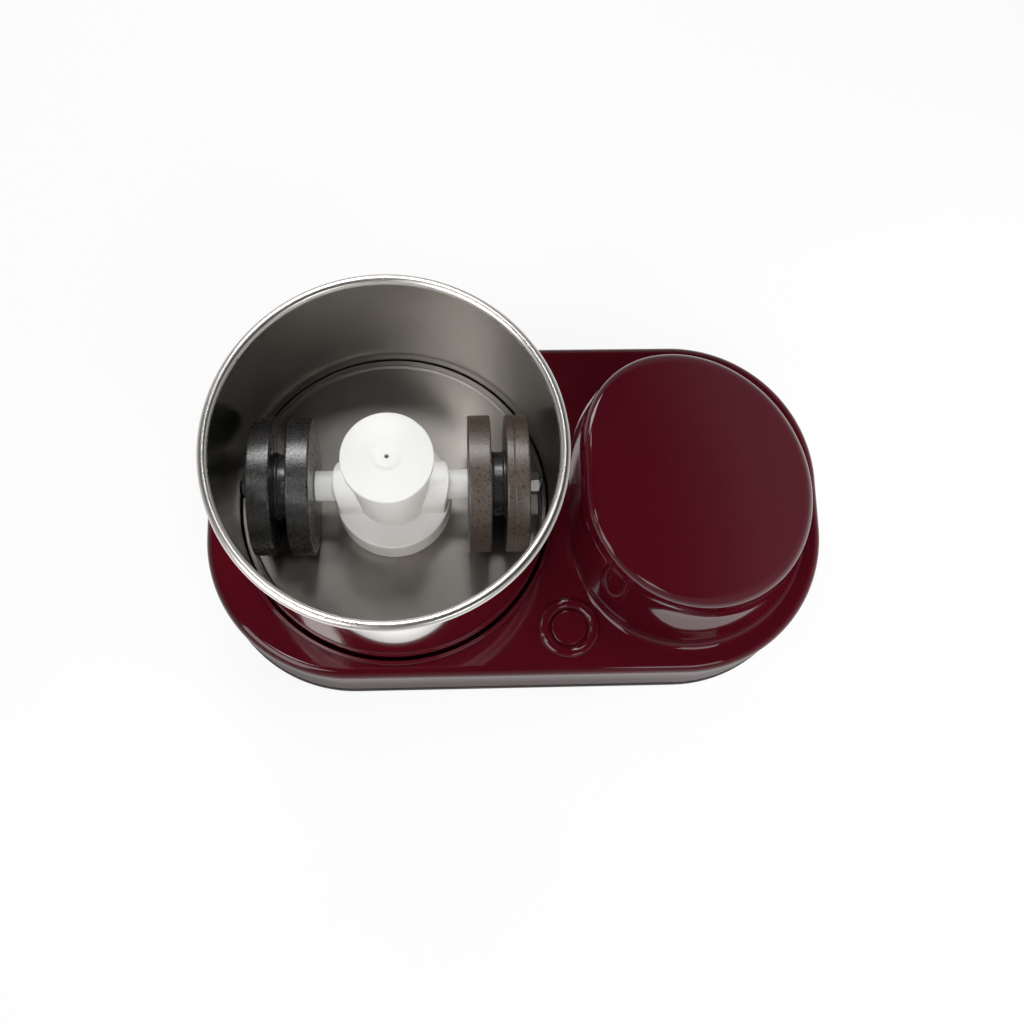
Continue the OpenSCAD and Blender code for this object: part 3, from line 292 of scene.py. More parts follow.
def revolved(path, x, y=0.0, count=160):
    """Grid of rings about an upright axis at (x, y): each path point (r, z) sweeps
    (x + r cos a, y + r sin a, z)."""
    angle = around(count)
    r = path[:, 0, None]
    return np.stack([x + r * np.cos(angle), y + r * np.sin(angle),
                     np.broadcast_to(path[:, 1, None], (len(path), count))], axis=2)


def turned(path, x, side, count=144, radius_of=None):
    """Grid of rings about the rollers' axle, from distance x out to one side: each path point (r, d)
    sweeps (drum axis + side (x + d), r cos a, axle height + r sin a). radius_of bends r by a and d."""
    angle = around(count)
    r = np.broadcast_to(path[:, 0, None], (len(path), count))
    d = np.broadcast_to(path[:, 1, None], (len(path), count))
    if radius_of is not None:
        r = radius_of(r, d, angle)
    return np.stack([DRUM_X + side * (x + d), r * np.cos(angle), AXLE_Z + r * np.sin(angle)], axis=2)


def signed_volume(vertices, faces):
    """Six times the volume that faces close, the sum of a . (b x c) over their triangles. It is
    negative where they point inwards."""
    a, b, c = (vertices[faces[:, k]] for k in range(3))
    volume = np.einsum("ij,ij->", a, np.cross(b, c))
    if faces.shape[1] == 4:
        volume += np.einsum("ij,ij->", a, np.cross(c, vertices[faces[:, 3]]))
    return volume


def ring_quads(rows, count, closed):
    """Quads between neighbouring rings of a grid, and from its last ring to its first if closed."""
    i, j = np.meshgrid(np.arange(rows if closed else rows - 1), np.arange(count), indexing="ij")
    i2, j2 = (i + 1) % rows, (j + 1) % count
    quads = np.stack([i * count + j, i2 * count + j, i2 * count + j2, i * count + j2], axis=-1)
    return quads.reshape(-1, 4)


def ring_shell(grid):
    """Closed shell from a grid of rings whose last ring joins its first."""
    rows, count, _ = grid.shape
    quads = ring_quads(rows, count, True)
    vertices = grid.reshape(-1, 3)
    if signed_volume(vertices, quads) < 0:
        quads = quads[:, ::-1]
    return vertices, [quads]


def capped_shell(grid):
    """Closed shell from a grid of rings, with each end ring closed by a fan to its middle."""
    rows, count, _ = grid.shape
    quads = ring_quads(rows, count, False)
    vertices = np.vstack([grid.reshape(-1, 3), grid[0].mean(0)[None], grid[-1].mean(0)[None]])
    ring = np.arange(count)
    following = (ring + 1) % count
    first, last = rows * count, rows * count + 1
    base = (rows - 1) * count
    fans = np.vstack([np.stack([np.full(count, first), ring, following], axis=1),
                      np.stack([np.full(count, last), base + following, base + ring], axis=1)])
    if signed_volume(vertices, quads) + signed_volume(vertices, fans) < 0:
        quads, fans = quads[:, ::-1], fans[:, ::-1]
    return vertices, [quads, fans]


def mesh_of(name, shells, sharp=32):
    """One mesh from closed shells, smooth except where faces meet at more than sharp degrees."""
    vertices, loops, counts = [], [], []
    offset = 0
    for points, groups in shells:
        for faces in groups:
            loops.append((faces + offset).ravel())
            counts.append(np.full(len(faces), faces.shape[1]))
        vertices.append(points)
        offset += len(points)
    vertices, loops, counts = np.vstack(vertices), np.concatenate(loops), np.concatenate(counts)
    mesh = bpy.data.meshes.new(name)
    mesh.vertices.add(len(vertices))
    mesh.vertices.foreach_set("co", vertices.astype(np.float32).ravel())
    mesh.loops.add(len(loops))
    mesh.loops.foreach_set("vertex_index", loops.astype(np.int32))
    mesh.polygons.add(len(counts))
    mesh.polygons.foreach_set("loop_start", np.concatenate([[0], np.cumsum(counts)[:-1]]).astype(np.int32))
    mesh.update(calc_edges=True)
    if mesh.validate():
        raise RuntimeError("the mesh of %s had faults" % name)
    mesh.shade_smooth()
    mesh.set_sharp_from_angle(angle=math.radians(sharp))
    return mesh


def add_piece(name, shells, body, finish, replaced, sharp=32):
    """A finished piece that rides on a body, takes a material slot and stands for solids."""
    piece = bpy.data.objects.new(name, mesh_of(name, shells, sharp))
    bpy.context.scene.collection.objects.link(piece)
    piece.data.materials.append(material(finish))
    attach(piece, body)
    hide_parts(*replaced)
    return piece


# Shader expressions


class Value:
    """A number's output socket; arithmetic on it adds Math nodes."""

    def __init__(self, graph, socket):
        self.graph = graph
        self.socket = socket

    def math(self, operation, first, second):
        return self.graph.node("ShaderNodeMath", {"operation": operation}, {0: first, 1: second})

    def __add__(self, other):
        return self.math("ADD", self, other)

    def __radd__(self, other):
        return self.math("ADD", other, self)

    def __sub__(self, other):
        return self.math("SUBTRACT", self, other)

    def __rsub__(self, other):
        return self.math("SUBTRACT", other, self)

    def __mul__(self, other):
        return self.math("MULTIPLY", self, other)

    def __rmul__(self, other):
        return self.math("MULTIPLY", other, self)

    def __truediv__(self, other):
        return self.math("DIVIDE", self, other)

    def clamped(self):
        return self.graph.node("ShaderNodeClamp", {}, {"Value": self})


class Graph:
    """A node tree that is written from scratch."""

    def __init__(self, tree):
        self.tree = tree
        tree.nodes.clear()

    def node(self, kind, settings, sockets, out=0):
        """A node of a kind: its settings first, then the value or link of each socket."""
        made = self.tree.nodes.new(kind)
        for name, value in settings.items():
            if name == "stops":
                self.set_stops(made.color_ramp, value)
            else:
                setattr(made, name, value)
        for name, value in sockets.items():
            if isinstance(value, Value):
                self.tree.links.new(value.socket, made.inputs[name])
            else:
                made.inputs[name].default_value = value
        return Value(self, made.outputs[out]) if len(made.outputs) else None

    def set_stops(self, ramp, stops):
        """The stops of a ramp, as (position, grey) pairs."""
        while len(ramp.elements) < len(stops):
            ramp.elements.new(1.0)
        for element, (position, grey) in zip(ramp.elements, stops):
            element.position = position
            element.color = (grey, grey, grey, 1)

    def place(self, scale=(1, 1, 1), centre=(0, 0, 0)):
        """Object coordinates about a centre, stretched by a scale."""
        raw = self.node("ShaderNodeTexCoord", {}, {}, "Object")
        shift = tuple(-c * s for c, s in zip(centre, scale))
        return self.node("ShaderNodeMapping", {}, {"Vector": raw, "Location": shift, "Scale": scale})

    def noise(self, vector, scale, detail=3.0, roughness=0.55):
        """Smooth noise from 0 to 1."""
        return self.node("ShaderNodeTexNoise", {}, {"Vector": vector, "Scale": scale, "Detail": detail,
                                                    "Roughness": roughness}, "Fac")

    def cells(self, vector, scale):
        """Distance to the nearest of scattered points."""
        return self.node("ShaderNodeTexVoronoi", {}, {"Vector": vector, "Scale": scale}, "Distance")

    def ramp(self, factor, *stops):
        """A number that follows stops of (position, level)."""
        return self.node("ShaderNodeValToRGB", {"stops": stops}, {"Fac": factor})

    def mix(self, factor, first, second):
        """A colour between two."""
        pad = [c if isinstance(c, Value) else (*c, 1) for c in (first, second)]
        return self.node("ShaderNodeMix", {"data_type": "RGBA"}, {0: factor, 6: pad[0], 7: pad[1]}, 2)

    def radius(self, x, y=0.0):
        """Distance from an upright axis at (x, y)."""
        flat = self.place((1, 1, 0), (x, y, 0))
        return self.node("ShaderNodeVectorMath", {"operation": "LENGTH"}, {0: flat}, "Value")

    def height(self):
        """Height above the table."""
        return self.node("ShaderNodeSeparateXYZ", {}, {"Vector": self.place()}, "Z")

    def outside_base(self):
        """Distance from the rounded rectangle of the base: the length of what lies beyond the rectangle
        between its corners' centres, less the corner's radius."""
        corner = sizes().base_corner
        place = self.node("ShaderNodeVectorMath", {"operation": "ABSOLUTE"}, {0: self.place((1, 1, 0))})
        beyond = self.node("ShaderNodeVectorMath", {"operation": "SUBTRACT"},
                           {0: place, 1: (BASE_END - corner, BASE_HALF - corner, 0)})
        beyond = self.node("ShaderNodeVectorMath", {"operation": "MAXIMUM"}, {0: beyond, 1: (0, 0, 0)})
        return self.node("ShaderNodeVectorMath", {"operation": "LENGTH"}, {0: beyond}, "Value") - corner

    def only_x(self, value):
        """A vector with a number as its first part."""
        return self.node("ShaderNodeCombineXYZ", {}, {"X": value})

    def bump(self, height, strength, distance):
        """Normal from a height."""
        return self.node("ShaderNodeBump", {}, {"Height": height, "Strength": strength, "Distance": distance})

    def surface(self, shader):
        """The tree's output."""
        self.node("ShaderNodeOutputMaterial", {}, {"Surface": shader})

    def principled(self, sockets):
        """The main shader, put out as the surface."""
        self.surface(self.node("ShaderNodeBsdfPrincipled", {}, sockets))


def shade(colour, factor):
    """A colour made lighter or darker."""
    return tuple(min(c * factor, 1.0) for c in colour)


# Finishes, one function each


def maroon_gloss(g):
    """Gloss moulding: even colour with a faint cloud, a fine ripple and slight handling marks."""
    base = colours().maroon
    spot = g.place()
    cloud = g.noise(spot, 12, 2)
    smear = g.ramp(g.noise(g.place((1, 1.6, 1)), 46, 5), (0.45, 0.0), (0.75, 1.0))
    g.principled({
        "Base Color": g.mix(cloud, shade(base, 0.9), shade(base, 1.1)),
        "Roughness": 0.045 + 0.05 * smear,
        "Specular IOR Level": 0.5,
        "Normal": g.bump(g.noise(spot, 420, 1), 0.05, 0.0002),
    })


def drum_steel(g):
    """Stainless sheet: a polished outside, and an inside and rim brushed around in fine rings, with
    water marks. The outside and the rim are painted lighter than the inside, as a painted reflection."""
    base, s = colours().steel, sizes()
    beyond = ((g.radius(DRUM_X) - (drum_radius() - 0.7 * s.sheet)) / (0.4 * s.sheet)).clamped()
    rim = ((g.height() - (top("drum_shell") - 2.2 * s.bead)) / (0.2 * s.bead)).clamped()
    polished = beyond * (1 - rim)
    brush = g.noise(g.place((14, 14, 3600), (DRUM_X, 0, 0)), 1, 4, 0.7)
    broad = g.noise(g.place((9, 9, 420), (DRUM_X, 0, 0)), 1, 3)
    marks = g.noise(g.place(), 38, 4)
    inner = g.mix(0.6 * marks + 0.4 * broad, shade(base, 0.74), shade(base, 0.92))
    satin = (1 - rim) * (0.1 + 0.13 * brush + 0.06 * marks) + rim * (0.24 + 0.08 * marks)
    # Painted reflection: the outside's steel (1.34) and the rim's (1.25) are lighter than the inside's.
    g.principled({
        "Base Color": g.mix(rim, g.mix(polished, inner, shade(base, 1.34)), shade(base, 1.25)),
        "Metallic": 1.0,
        "Roughness": (1 - polished) * satin + polished * (0.025 + 0.04 * marks),
        "Normal": g.bump((0.7 * brush + 0.3 * broad) * (1 - 0.9 * polished), 0.06, 0.0002),
    })


def bed_steel(g):
    """Satin turned face: fine rings about the axis, with dull patches where the rollers run."""
    base = colours().bed
    r = g.radius(DRUM_X)
    rings = g.noise(g.only_x(r * 2600), 1, 3, 0.7)
    dull = g.noise(g.place((1, 1, 0.3), (DRUM_X, 0, 0)), 34, 5, 0.6)
    g.principled({
        "Base Color": g.mix(dull, shade(base, 0.82), shade(base, 1.1)),
        "Metallic": 1.0,
        "Roughness": 0.23 + 0.08 * rings + 0.12 * dull,
        "Normal": g.bump(rings, 0.1, 0.0002),
    })


def white_nylon(g):
    """Turned nylon: soft white with fine tool rings and a faint cloud."""
    base = colours().nylon
    rings = g.noise(g.only_x(g.radius(DRUM_X) * 1500), 1, 2)
    lines = g.noise(g.place((6, 6, 1400), (DRUM_X, 0, 0)), 1, 2)
    cloud = g.noise(g.place(), 55, 4)
    g.principled({
        "Base Color": g.mix(cloud, shade(base, 0.95), shade(base, 1.02)),
        "Roughness": 0.32 + 0.14 * cloud,
        "Specular IOR Level": 0.45,
        "Subsurface Weight": 0.08,
        "Subsurface Radius": (0.004, 0.0038, 0.0034),
        "Normal": g.bump(0.5 * rings + 0.5 * lines, 0.06, 0.0002),
    })


def granite(g, base, fleck, amount, polish):
    """Ground stone: grains of two sizes, pale and dark flecks, pits, and grinding lines that run
    around the roller."""
    spot = g.place()
    grain = g.ramp(g.noise(spot, 560, 4, 0.7), (0.36, 0.0), (0.64, 1.0))
    patch = g.noise(spot, 210, 4, 0.65)
    flecks = g.ramp(g.cells(spot, 420), (0.0, 1.0), (0.14, 0.6), (0.3, 0.0))
    dark = g.ramp(g.cells(g.place((1.3, 1.3, 1.3)), 430), (0.0, 1.0), (0.2, 0.0))
    lines = g.noise(g.place((2400, 60, 60)), 1, 3, 0.7)
    stone = g.mix(0.5 * patch + 0.5 * grain, shade(base, 0.45), shade(base, 1.6))
    pale = g.mix(((0.4 * flecks + 0.6 * grain * lines) * amount).clamped(), stone, fleck)
    pits = g.mix(dark * 0.25, pale, shade(base, 0.45))
    g.principled({
        "Base Color": pits,
        "Roughness": polish + 0.24 * grain * lines + 0.14 * patch + 0.1 * dark,
        "Specular IOR Level": 1.0,
        "Normal": g.bump(0.5 * lines + 0.35 * grain - 0.6 * dark, 0.3, 0.0004),
    })


def granite_dark(g):
    """Near-black stone of the left roller."""
    granite(g, colours().granite_dark, (0.14, 0.138, 0.134), 0.22, 0.14)


def granite_brown(g):
    """Brown-grey stone of the right roller."""
    granite(g, colours().granite_brown, (0.28, 0.22, 0.17), 0.45, 0.2)


def moulded(g, base, low, high, grain_scale, depth, gloss=0.5):
    """Moulded plastic or rubber: a fine grain, a faint cloud and a roughness between low and high."""
    spot = g.place()
    grain = g.noise(spot, grain_scale, 3)
    cloud = g.noise(spot, 60, 4)
    g.principled({
        "Base Color": g.mix(cloud, shade(base, 0.82), shade(base, 1.2)),
        "Roughness": low + (high - low) * cloud,
        "Specular IOR Level": gloss,
        "Normal": g.bump(grain, depth, 0.0003),
    })


def pan_plastic(g):
    """Dark grey base pan with a fine moulded grain."""
    moulded(g, colours().pan, 0.42, 0.58, 1500, 0.2)


def black_plastic(g):
    """Gloss black moulding of the spools and the switch."""
    moulded(g, shade(colours().black, 2.8), 0.22, 0.32, 700, 0.04, 1.0)


def black_rubber(g):
    """Matt black rubber."""
    moulded(g, colours().black, 0.62, 0.8, 1100, 0.3)


def metal(g, base, low, high, stretch, depth):
    """Bare or plated metal: grain stretched along an axis, patches of tarnish and worn gloss."""
    grain = g.noise(g.place(stretch), 1, 4, 0.65)
    tarnish = g.noise(g.place(), 85, 5, 0.6)
    g.principled({
        "Base Color": g.mix(tarnish, shade(base, 0.78), shade(base, 1.1)),
        "Metallic": 1.0,
        "Roughness": low + (high - low) * (0.5 * grain + 0.5 * tarnish),
        "Normal": g.bump(grain, depth, 0.0002),
    })


def shaft_steel(g):
    """Ground steel of shafts, axles and washers."""
    metal(g, shade(colours().zinc, 0.9), 0.14, 0.34, (900, 900, 900), 0.06)


def zinc_plate(g):
    """Plated steel of nuts, screws and plates."""
    metal(g, shade(colours().zinc, 0.6), 0.36, 0.52, (320, 320, 320), 0.08)


def cast_alloy(g):
    """As-cast alloy with a sandy skin."""
    metal(g, colours().alloy, 0.42, 0.62, (850, 850, 850), 0.3)


def can_aluminium(g):
    """Drawn can with lines along its length."""
    metal(g, shade(colours().alloy, 1.3), 0.2, 0.36, (1600, 30, 1600), 0.08)


def laminations(g):
    """Stack of steel sheets: fine lines across the height."""
    metal(g, colours().iron, 0.38, 0.6, (20, 20, 2400), 0.5)


def copper_wire(g):
    """Varnished wire laid around the coil."""
    metal(g, colours().copper, 0.22, 0.4, (60, 60, 1300), 0.5)


def bush_brass(g):
    """Machined brass."""
    metal(g, colours().brass, 0.2, 0.4, (700, 700, 700), 0.1)


FINISHES = {f.__name__: f for f in (
    maroon_gloss, drum_steel, bed_steel, white_nylon, granite_dark, granite_brown, pan_plastic, black_plastic,
    black_rubber, shaft_steel, zinc_plate, cast_alloy, can_aluminium, laminations, copper_wire, bush_brass)}


def material(slot):
    """The material of a slot, made on first use."""
    made = bpy.data.materials.get("finish_" + slot)
    if made is None:
        made = bpy.data.materials.new("finish_" + slot)
        made.use_nodes = True
        FINISHES[slot](Graph(made.node_tree))
    return made


# Housing and lid


def tower_outline(inset, count_round=150, count_corner=44, count_flat=9):
    """Outline of the tower about its centre, drawn in by inset: an arc of the tower's radius on the
    right, and a flat left side that runs into it over two corner arcs whose centres lie on the line
    where both circles touch."""
    s = sizes()
    corner_x = s.tower_corner - TOWER_FLAT
    corner_y = math.sqrt((TOWER_R - s.tower_corner) ** 2 - corner_x ** 2)
    turn = math.degrees(math.atan2(corner_y, corner_x))
    big, small = TOWER_R - inset, s.tower_corner - inset
    right = arc((0, 0), big, -turn, turn, count_round)
    upper = arc((corner_x, corner_y), small, turn, 180, count_corner)[1:]
    flat_y = np.linspace(corner_y, -corner_y, count_flat)[1:-1]
    flat = np.stack([np.full(len(flat_y), corner_x - small), flat_y], axis=1)
    lower = arc((corner_x, -corner_y), small, 180, 360 - turn, count_corner)[:-1]
    return np.vstack([right, upper, flat, lower])


def tower_ring(inset, z):
    """Level ring of the tower's outline."""
    flat = tower_outline(inset)
    return np.column_stack([TOWER_X + flat[:, 0], flat[:, 1], np.full(len(flat), z)])


def flared_ring(share, z):
    """Level ring of the tower's outline, pushed out along its normals by the tower's flare and by a
    share of the foot's fillet. Both are full at the front and back and fade out towards the sides,
    with the square of the normal's y."""
    s = sizes()
    flat = tower_outline(0)
    normal = (tower_outline(-0.001) - flat) / 0.001
    front = 0.05 + 0.95 * normal[:, 1:] ** 2
    flat = flat + normal * front * (s.tower_flare + share * s.tower_foot)
    return np.column_stack([TOWER_X + flat[:, 0], flat[:, 1], np.full(len(flat), z)])


def lid_height(x):
    """Height of the lid's plane at a distance x to the right of the tower's centre."""
    s = sizes()
    slope = math.tan(s.lid_tilt)
    centre_z = top("motor_cap") - slope * (TOWER_FLAT - s.lid_round)
    return centre_z - slope * x


def lid_ring(inset, drop):
    """Ring of the tower's outline on the plane that lies drop below the lid's plane."""
    flat = tower_outline(inset)
    return np.column_stack([TOWER_X + flat[:, 0], flat[:, 1], lid_height(flat[:, 0]) - drop])


def deck_height():
    """Height of the deck: the bezel's nut clamps its underside."""
    return top("bezel_nut") + sizes().wall


def drum_radius():
    """Outer radius of the drum's wall: the rim's, less the bead that stands out from the sheet."""
    return RIM_R - 2 * sizes().bead + 2 * sizes().sheet


def well_radius():
    """Radius of the well: the drum's wall and the gap around it."""
    return drum_radius() + sizes().drum_gap


def from_corners(x, y):
    """Distance of a point from the rectangle between the centres of the base's corners, 0 inside it."""
    corner = sizes().base_corner
    beyond_x = np.maximum(np.abs(x) - (BASE_END - corner), 0)
    beyond_y = np.maximum(np.abs(y) - (BASE_HALF - corner), 0)
    return np.hypot(beyond_x, beyond_y)


def outline_reach(angle, radius):
    """Distance from the drum's axis, along a ray, to the rounded rectangle whose corners have a
    radius, by halving the stretch in which the distance from the corners passes that radius."""
    angle, radius = np.broadcast_arrays(angle, radius)
    low, high = np.zeros(angle.shape), np.ones(angle.shape)
    for _ in range(40):
        mid = (low + high) / 2
        inside = from_corners(DRUM_X + mid * np.cos(angle), mid * np.sin(angle)) < radius
        low, high = np.where(inside, mid, low), np.where(inside, high, mid)
    return (low + high) / 2


def outline_angles(step):
    """Ray angles from the drum's axis to points spaced evenly along the base's outline."""
    fine = np.linspace(-math.pi, math.pi, 6001)
    reach = outline_reach(fine, sizes().base_corner)
    x, y = reach * np.cos(fine), reach * np.sin(fine)
    along = np.concatenate([[0], np.cumsum(np.hypot(np.diff(x), np.diff(y)))])
    return np.interp(np.linspace(0, along[-1], int(along[-1] / step), endpoint=False), along, fine)


def ray_rings(angle, reach, z):
    """Rings of points at a reach along each ray from the drum's axis, at given heights."""
    reach, z = np.broadcast_arrays(reach, z)
    return np.stack([DRUM_X + reach * np.cos(angle), reach * np.sin(angle), z], axis=2)


def deck_surface(angle):
    """Rings over the deck from its edge to the well's lip. The height is the larger of the deck,
    rounded by a quarter circle towards its edge, and the lip's half circle."""
    s = sizes()
    edge_r, well_r, deck = s.base_corner - s.skirt_draft, well_radius(), deck_height()
    lip_half = s.lip_width / 2
    curve = np.linspace(0, math.pi / 2, 9)
    edge_steps = np.concatenate([s.deck_round * (1 - np.cos(curve)), s.deck_round + EDGE_SUPPORT])
    edge = outline_reach(angle[None], edge_r - edge_steps[:, None])
    curve = np.linspace(0, math.pi, 13)
    lip_steps = np.concatenate([lip_half - lip_half * np.cos(curve), s.lip_width + LIP_SUPPORT])
    lip = np.broadcast_to(well_r + lip_steps[:, None], (len(lip_steps), len(angle)))
    lip = np.minimum(lip, edge[:1] - 0.0002)
    reach = -np.sort(-np.vstack([edge, lip]), axis=0)
    x, y = DRUM_X + reach * np.cos(angle), reach * np.sin(angle)
    inside = edge_r - from_corners(x, y)
    short = np.clip(s.deck_round - inside, 0, s.deck_round)
    rounded = deck - s.deck_round + np.sqrt(s.deck_round ** 2 - short ** 2)
    across = np.clip(reach - well_r - lip_half, -lip_half, lip_half)
    ridge = deck + s.lip_height - lip_half + np.sqrt(lip_half ** 2 - across ** 2)
    on_lip = reach <= well_r + s.lip_width
    return ray_rings(angle, reach, np.where(on_lip, np.maximum(rounded, ridge), rounded))


def deck_shell():
    """Skirt, deck, lip and well as one closed shell of rings about the drum's axis: up the skirt's
    outside, over the deck and the lip, down the well, and back along the underside."""
    s = sizes()
    deck, well_r = deck_height(), well_radius()
    well_z = deck - s.well_depth
    angle = outline_angles(0.0022)
    foot_r = s.base_corner
    foot_inner = foot_r - s.wall
    inner_top = deck - s.wall - 0.004
    skirt = profile([(foot_inner - s.skirt_draft, inner_top, 0), (foot_inner, SKIRT_Z, 0.0004),
                     (foot_r, SKIRT_Z, 0.0006), (foot_r - s.skirt_draft, deck - s.deck_round, 0)],
                    closed=False)
    skirt_rings = ray_rings(angle, outline_reach(angle[None], skirt[:-1, :1]), skirt[:-1, 1:])
    well = profile([(well_r, deck, 0), (well_r, well_z, 0.0025), (s.well_hole, well_z, 0.0005),
                    (s.well_hole, well_z - s.wall, 0.0005), (well_r + s.wall, well_z - s.wall, 0.001),
                    (well_r + s.wall, deck - s.wall, 0)], closed=False)
    well_rings = ray_rings(angle, np.broadcast_to(well[:, :1], (len(well), len(angle))), well[:, 1:])
    return ring_shell(np.concatenate([skirt_rings, deck_surface(angle), well_rings]))


def tower_shell():
    """Tower wall as a closed tube: up the outside from a fillet on the deck to the seam's chamfer on
    the lid's slope, and down the inside."""
    s = sizes()
    deck = deck_height()
    curve = np.radians(np.linspace(90, 0, 8))
    foot = [flared_ring(1 - math.cos(a), deck + 0.75 * s.tower_foot * (1 - math.sin(a))) for a in curve]
    seam = [lid_ring(0, s.lid_band + s.lid_seam + SEAM_SUPPORT), lid_ring(0, s.lid_band + s.lid_seam),
            lid_ring(s.lid_seam, s.lid_band), lid_ring(s.wall, s.lid_band)]
    inside = [lid_ring(s.wall, s.lid_band + 0.002), tower_ring(s.wall, deck - s.wall),
              flared_ring(1, deck - s.wall)]
    wall = [foot[-1] + (seam[0] - foot[-1]) * share for share in (0.02, 0.25, 0.5, 0.75)]
    return ring_shell(np.stack(foot + wall + seam + inside))


def lid_shell():
    """Lid: from the seam's chamfer up the side, which leans in by the lid's draft, over the shoulder's
    quarter circle and in to the middle, with a crown of 1 - (share of the way out) squared."""
    s = sizes()
    seam_top = s.lid_band - s.lid_seam
    rings = [lid_ring(s.wall, s.lid_round + s.wall), lid_ring(s.wall, s.lid_band),
             lid_ring(s.lid_seam, s.lid_band), lid_ring(0, seam_top),
             lid_ring(0.05 * s.lid_draft, seam_top - SEAM_SUPPORT),
             lid_ring(s.lid_draft, s.lid_round + SEAM_SUPPORT)]
    for a in np.radians(np.linspace(0, 90, 12)):
        rings.append(lid_ring(s.lid_draft + s.lid_round * (1 - math.cos(a)), s.lid_round * (1 - math.sin(a))))
    edge = tower_outline(s.lid_draft + s.lid_round)
    for share in (0.992, 0.97, 0.9, 0.8, 0.65, 0.5, 0.35, 0.2):
        flat = edge * share
        height = lid_height(flat[:, 0]) + s.lid_crown * (1 - share ** 2)
        rings.append(np.column_stack([TOWER_X + flat[:, 0], flat[:, 1], height]))
    return capped_shell(np.stack(rings))


def bezel_shell():
    """Bezel: a half ellipse over the deck, a groove around the cap, a seat below it, and a sleeve down
    through the deck."""
    deck = deck_height()
    low, high = bottom("button_bezel"), top("button_bezel")
    outer, cap_r = half("button_bezel", 0), half("push_button", 0)
    inside, guide, sleeve, stem = cap_r + 0.0011, cap_r + 0.00005, cap_r + 0.003, 0.0043
    groove_z, seat_z = deck - 0.0032, low + 0.0045
    ring = arc((0, 0), 1, 0, 180, 25) * ((outer - inside) / 2, high - deck) + ((outer + inside) / 2, deck)
    rest = profile([(inside, deck, 0), (inside, groove_z, 0.0003), (guide, groove_z, 0), (guide, seat_z, 0),
                    (stem, seat_z, 0), (stem, low, 0), (sleeve, low, 0.0004), (sleeve, deck, 0)],
                   closed=False)
    return ring_shell(revolved(np.vstack([ring, rest[1:]]), BUTTON_X, BUTTON_Y, 96))


def cap_shell():
    """Button's cap: a stem and a disc with a rounded edge, whose top falls by the square of the share
    of the way out."""
    high, foot = top("push_button"), bottom("push_button")
    cap_r, disc_z, stem, crown = half("push_button", 0), deck_height() - 0.0062, 0.004, 0.0003
    crown_r = cap_r - 0.0028
    edge = profile([(stem, foot, 0), (stem, disc_z, 0), (cap_r, disc_z, 0.0004),
                    (cap_r, high - 0.0004, 0.0011), (crown_r, high - crown, 0)], closed=False)
    share = 1 - np.linspace(0, 1, 10)[1:-1, None]
    top_path = np.hstack([crown_r * share, high - crown * share ** 2])
    return capped_shell(revolved(np.vstack([edge, top_path]), BUTTON_X, BUTTON_Y, 96))


class GRINDER_OT_housing(bpy.types.Operator):
    """Builds the housing: skirt, deck, well with its lip, and the tower's wall"""

    bl_idname = "grinder.housing"
    bl_label = "Housing"

    def execute(self, context):
        add_piece("housing_body", [deck_shell(), tower_shell()], "base", "maroon_gloss", ["top_housing"])
        return {"FINISHED"}


class GRINDER_OT_lid(bpy.types.Operator):
    """Builds the sloping lid of the motor tower"""

    bl_idname = "grinder.lid"
    bl_label = "Motor lid"

    def execute(self, context):
        add_piece("motor_lid", [lid_shell()], "base", "maroon_gloss", ["motor_cap"])
        return {"FINISHED"}


class GRINDER_OT_button(bpy.types.Operator):
    """Builds the push button and its raised bezel"""

    bl_idname = "grinder.button"
    bl_label = "Push button"

    def execute(self, context):
        add_piece("bezel_ring", [bezel_shell()], "base", "maroon_gloss", ["button_bezel"])
        add_piece("button_cap", [cap_shell()], "button", "maroon_gloss", ["push_button"])
        return {"FINISHED"}


# Drum


def drum_path():
    """Section of the drum: out along the floor's underside, round the bend, up the wall, round the
    rolled rim, and back down the inside."""
    s = sizes()
    floor_z, rim_z = bottom("drum_shell"), top("drum_shell")
    wall_r = drum_radius()
    inside_r = wall_r - s.sheet
    hole = half("drum_chimney", 0) + SNUG
    bead_x, bead_z = RIM_R - s.bead, rim_z - s.bead
    start = 180 + math.degrees(math.acos((bead_x - wall_r) / s.bead))
    end = 540 + math.degrees(math.acos((bead_x - inside_r) / s.bead))
    bend = (wall_r - s.drum_bend, floor_z + s.drum_bend)
    bead = arc((bead_x, bead_z), s.bead, start, end, 36)
    path = np.vstack([[[hole, floor_z]], arc(bend, s.drum_bend, -90, 0, 9), bead,
                      arc(bend, s.drum_bend - s.sheet, 0, -90, 9), [[hole, floor_z + s.sheet]]])
    return supported(path, 0.0006, True)


def bed_shell():
    """Grinding bed: a turned disc with a ledge around it and a low ridge at its edge."""
    bed_r, low, high = half("grinding_bed", 0), bottom("grinding_bed"), top("grinding_bed")
    hole = half("drum_seal", 0)
    ledge_r, ledge_z, ledge_low = bed_r + 0.004, high - 0.0008, high - 0.0075
    ridge_z = high + 0.0005
    path = profile([
        (hole, low, 0), (bed_r, low, 0.0005), (bed_r, ledge_low, 0), (ledge_r, ledge_low, 0.0005),
        (ledge_r, ledge_z, 0.001), (bed_r + 0.0003, ledge_z, 0.0003), (bed_r, ridge_z, 0.0006),
        (bed_r - 0.0009, ridge_z, 0.0004), (bed_r - 0.0024, high, 0.0012), (hole, high, 0.0004)])
    return ring_shell(revolved(path, DRUM_X, count=240))


class GRINDER_OT_drum(bpy.types.Operator):
    """Builds the drum's shell and the grinding bed"""

    bl_idname = "grinder.drum"
    bl_label = "Drum and bed"

    def execute(self, context):
        add_piece("drum_wall", [ring_shell(revolved(drum_path(), DRUM_X, count=240))], "drum", "drum_steel",
                  ["drum_shell"])
        add_piece("bed_face", [bed_shell()], "drum", "bed_steel", ["grinding_bed"])
        return {"FINISHED"}


# Roller holder and knob


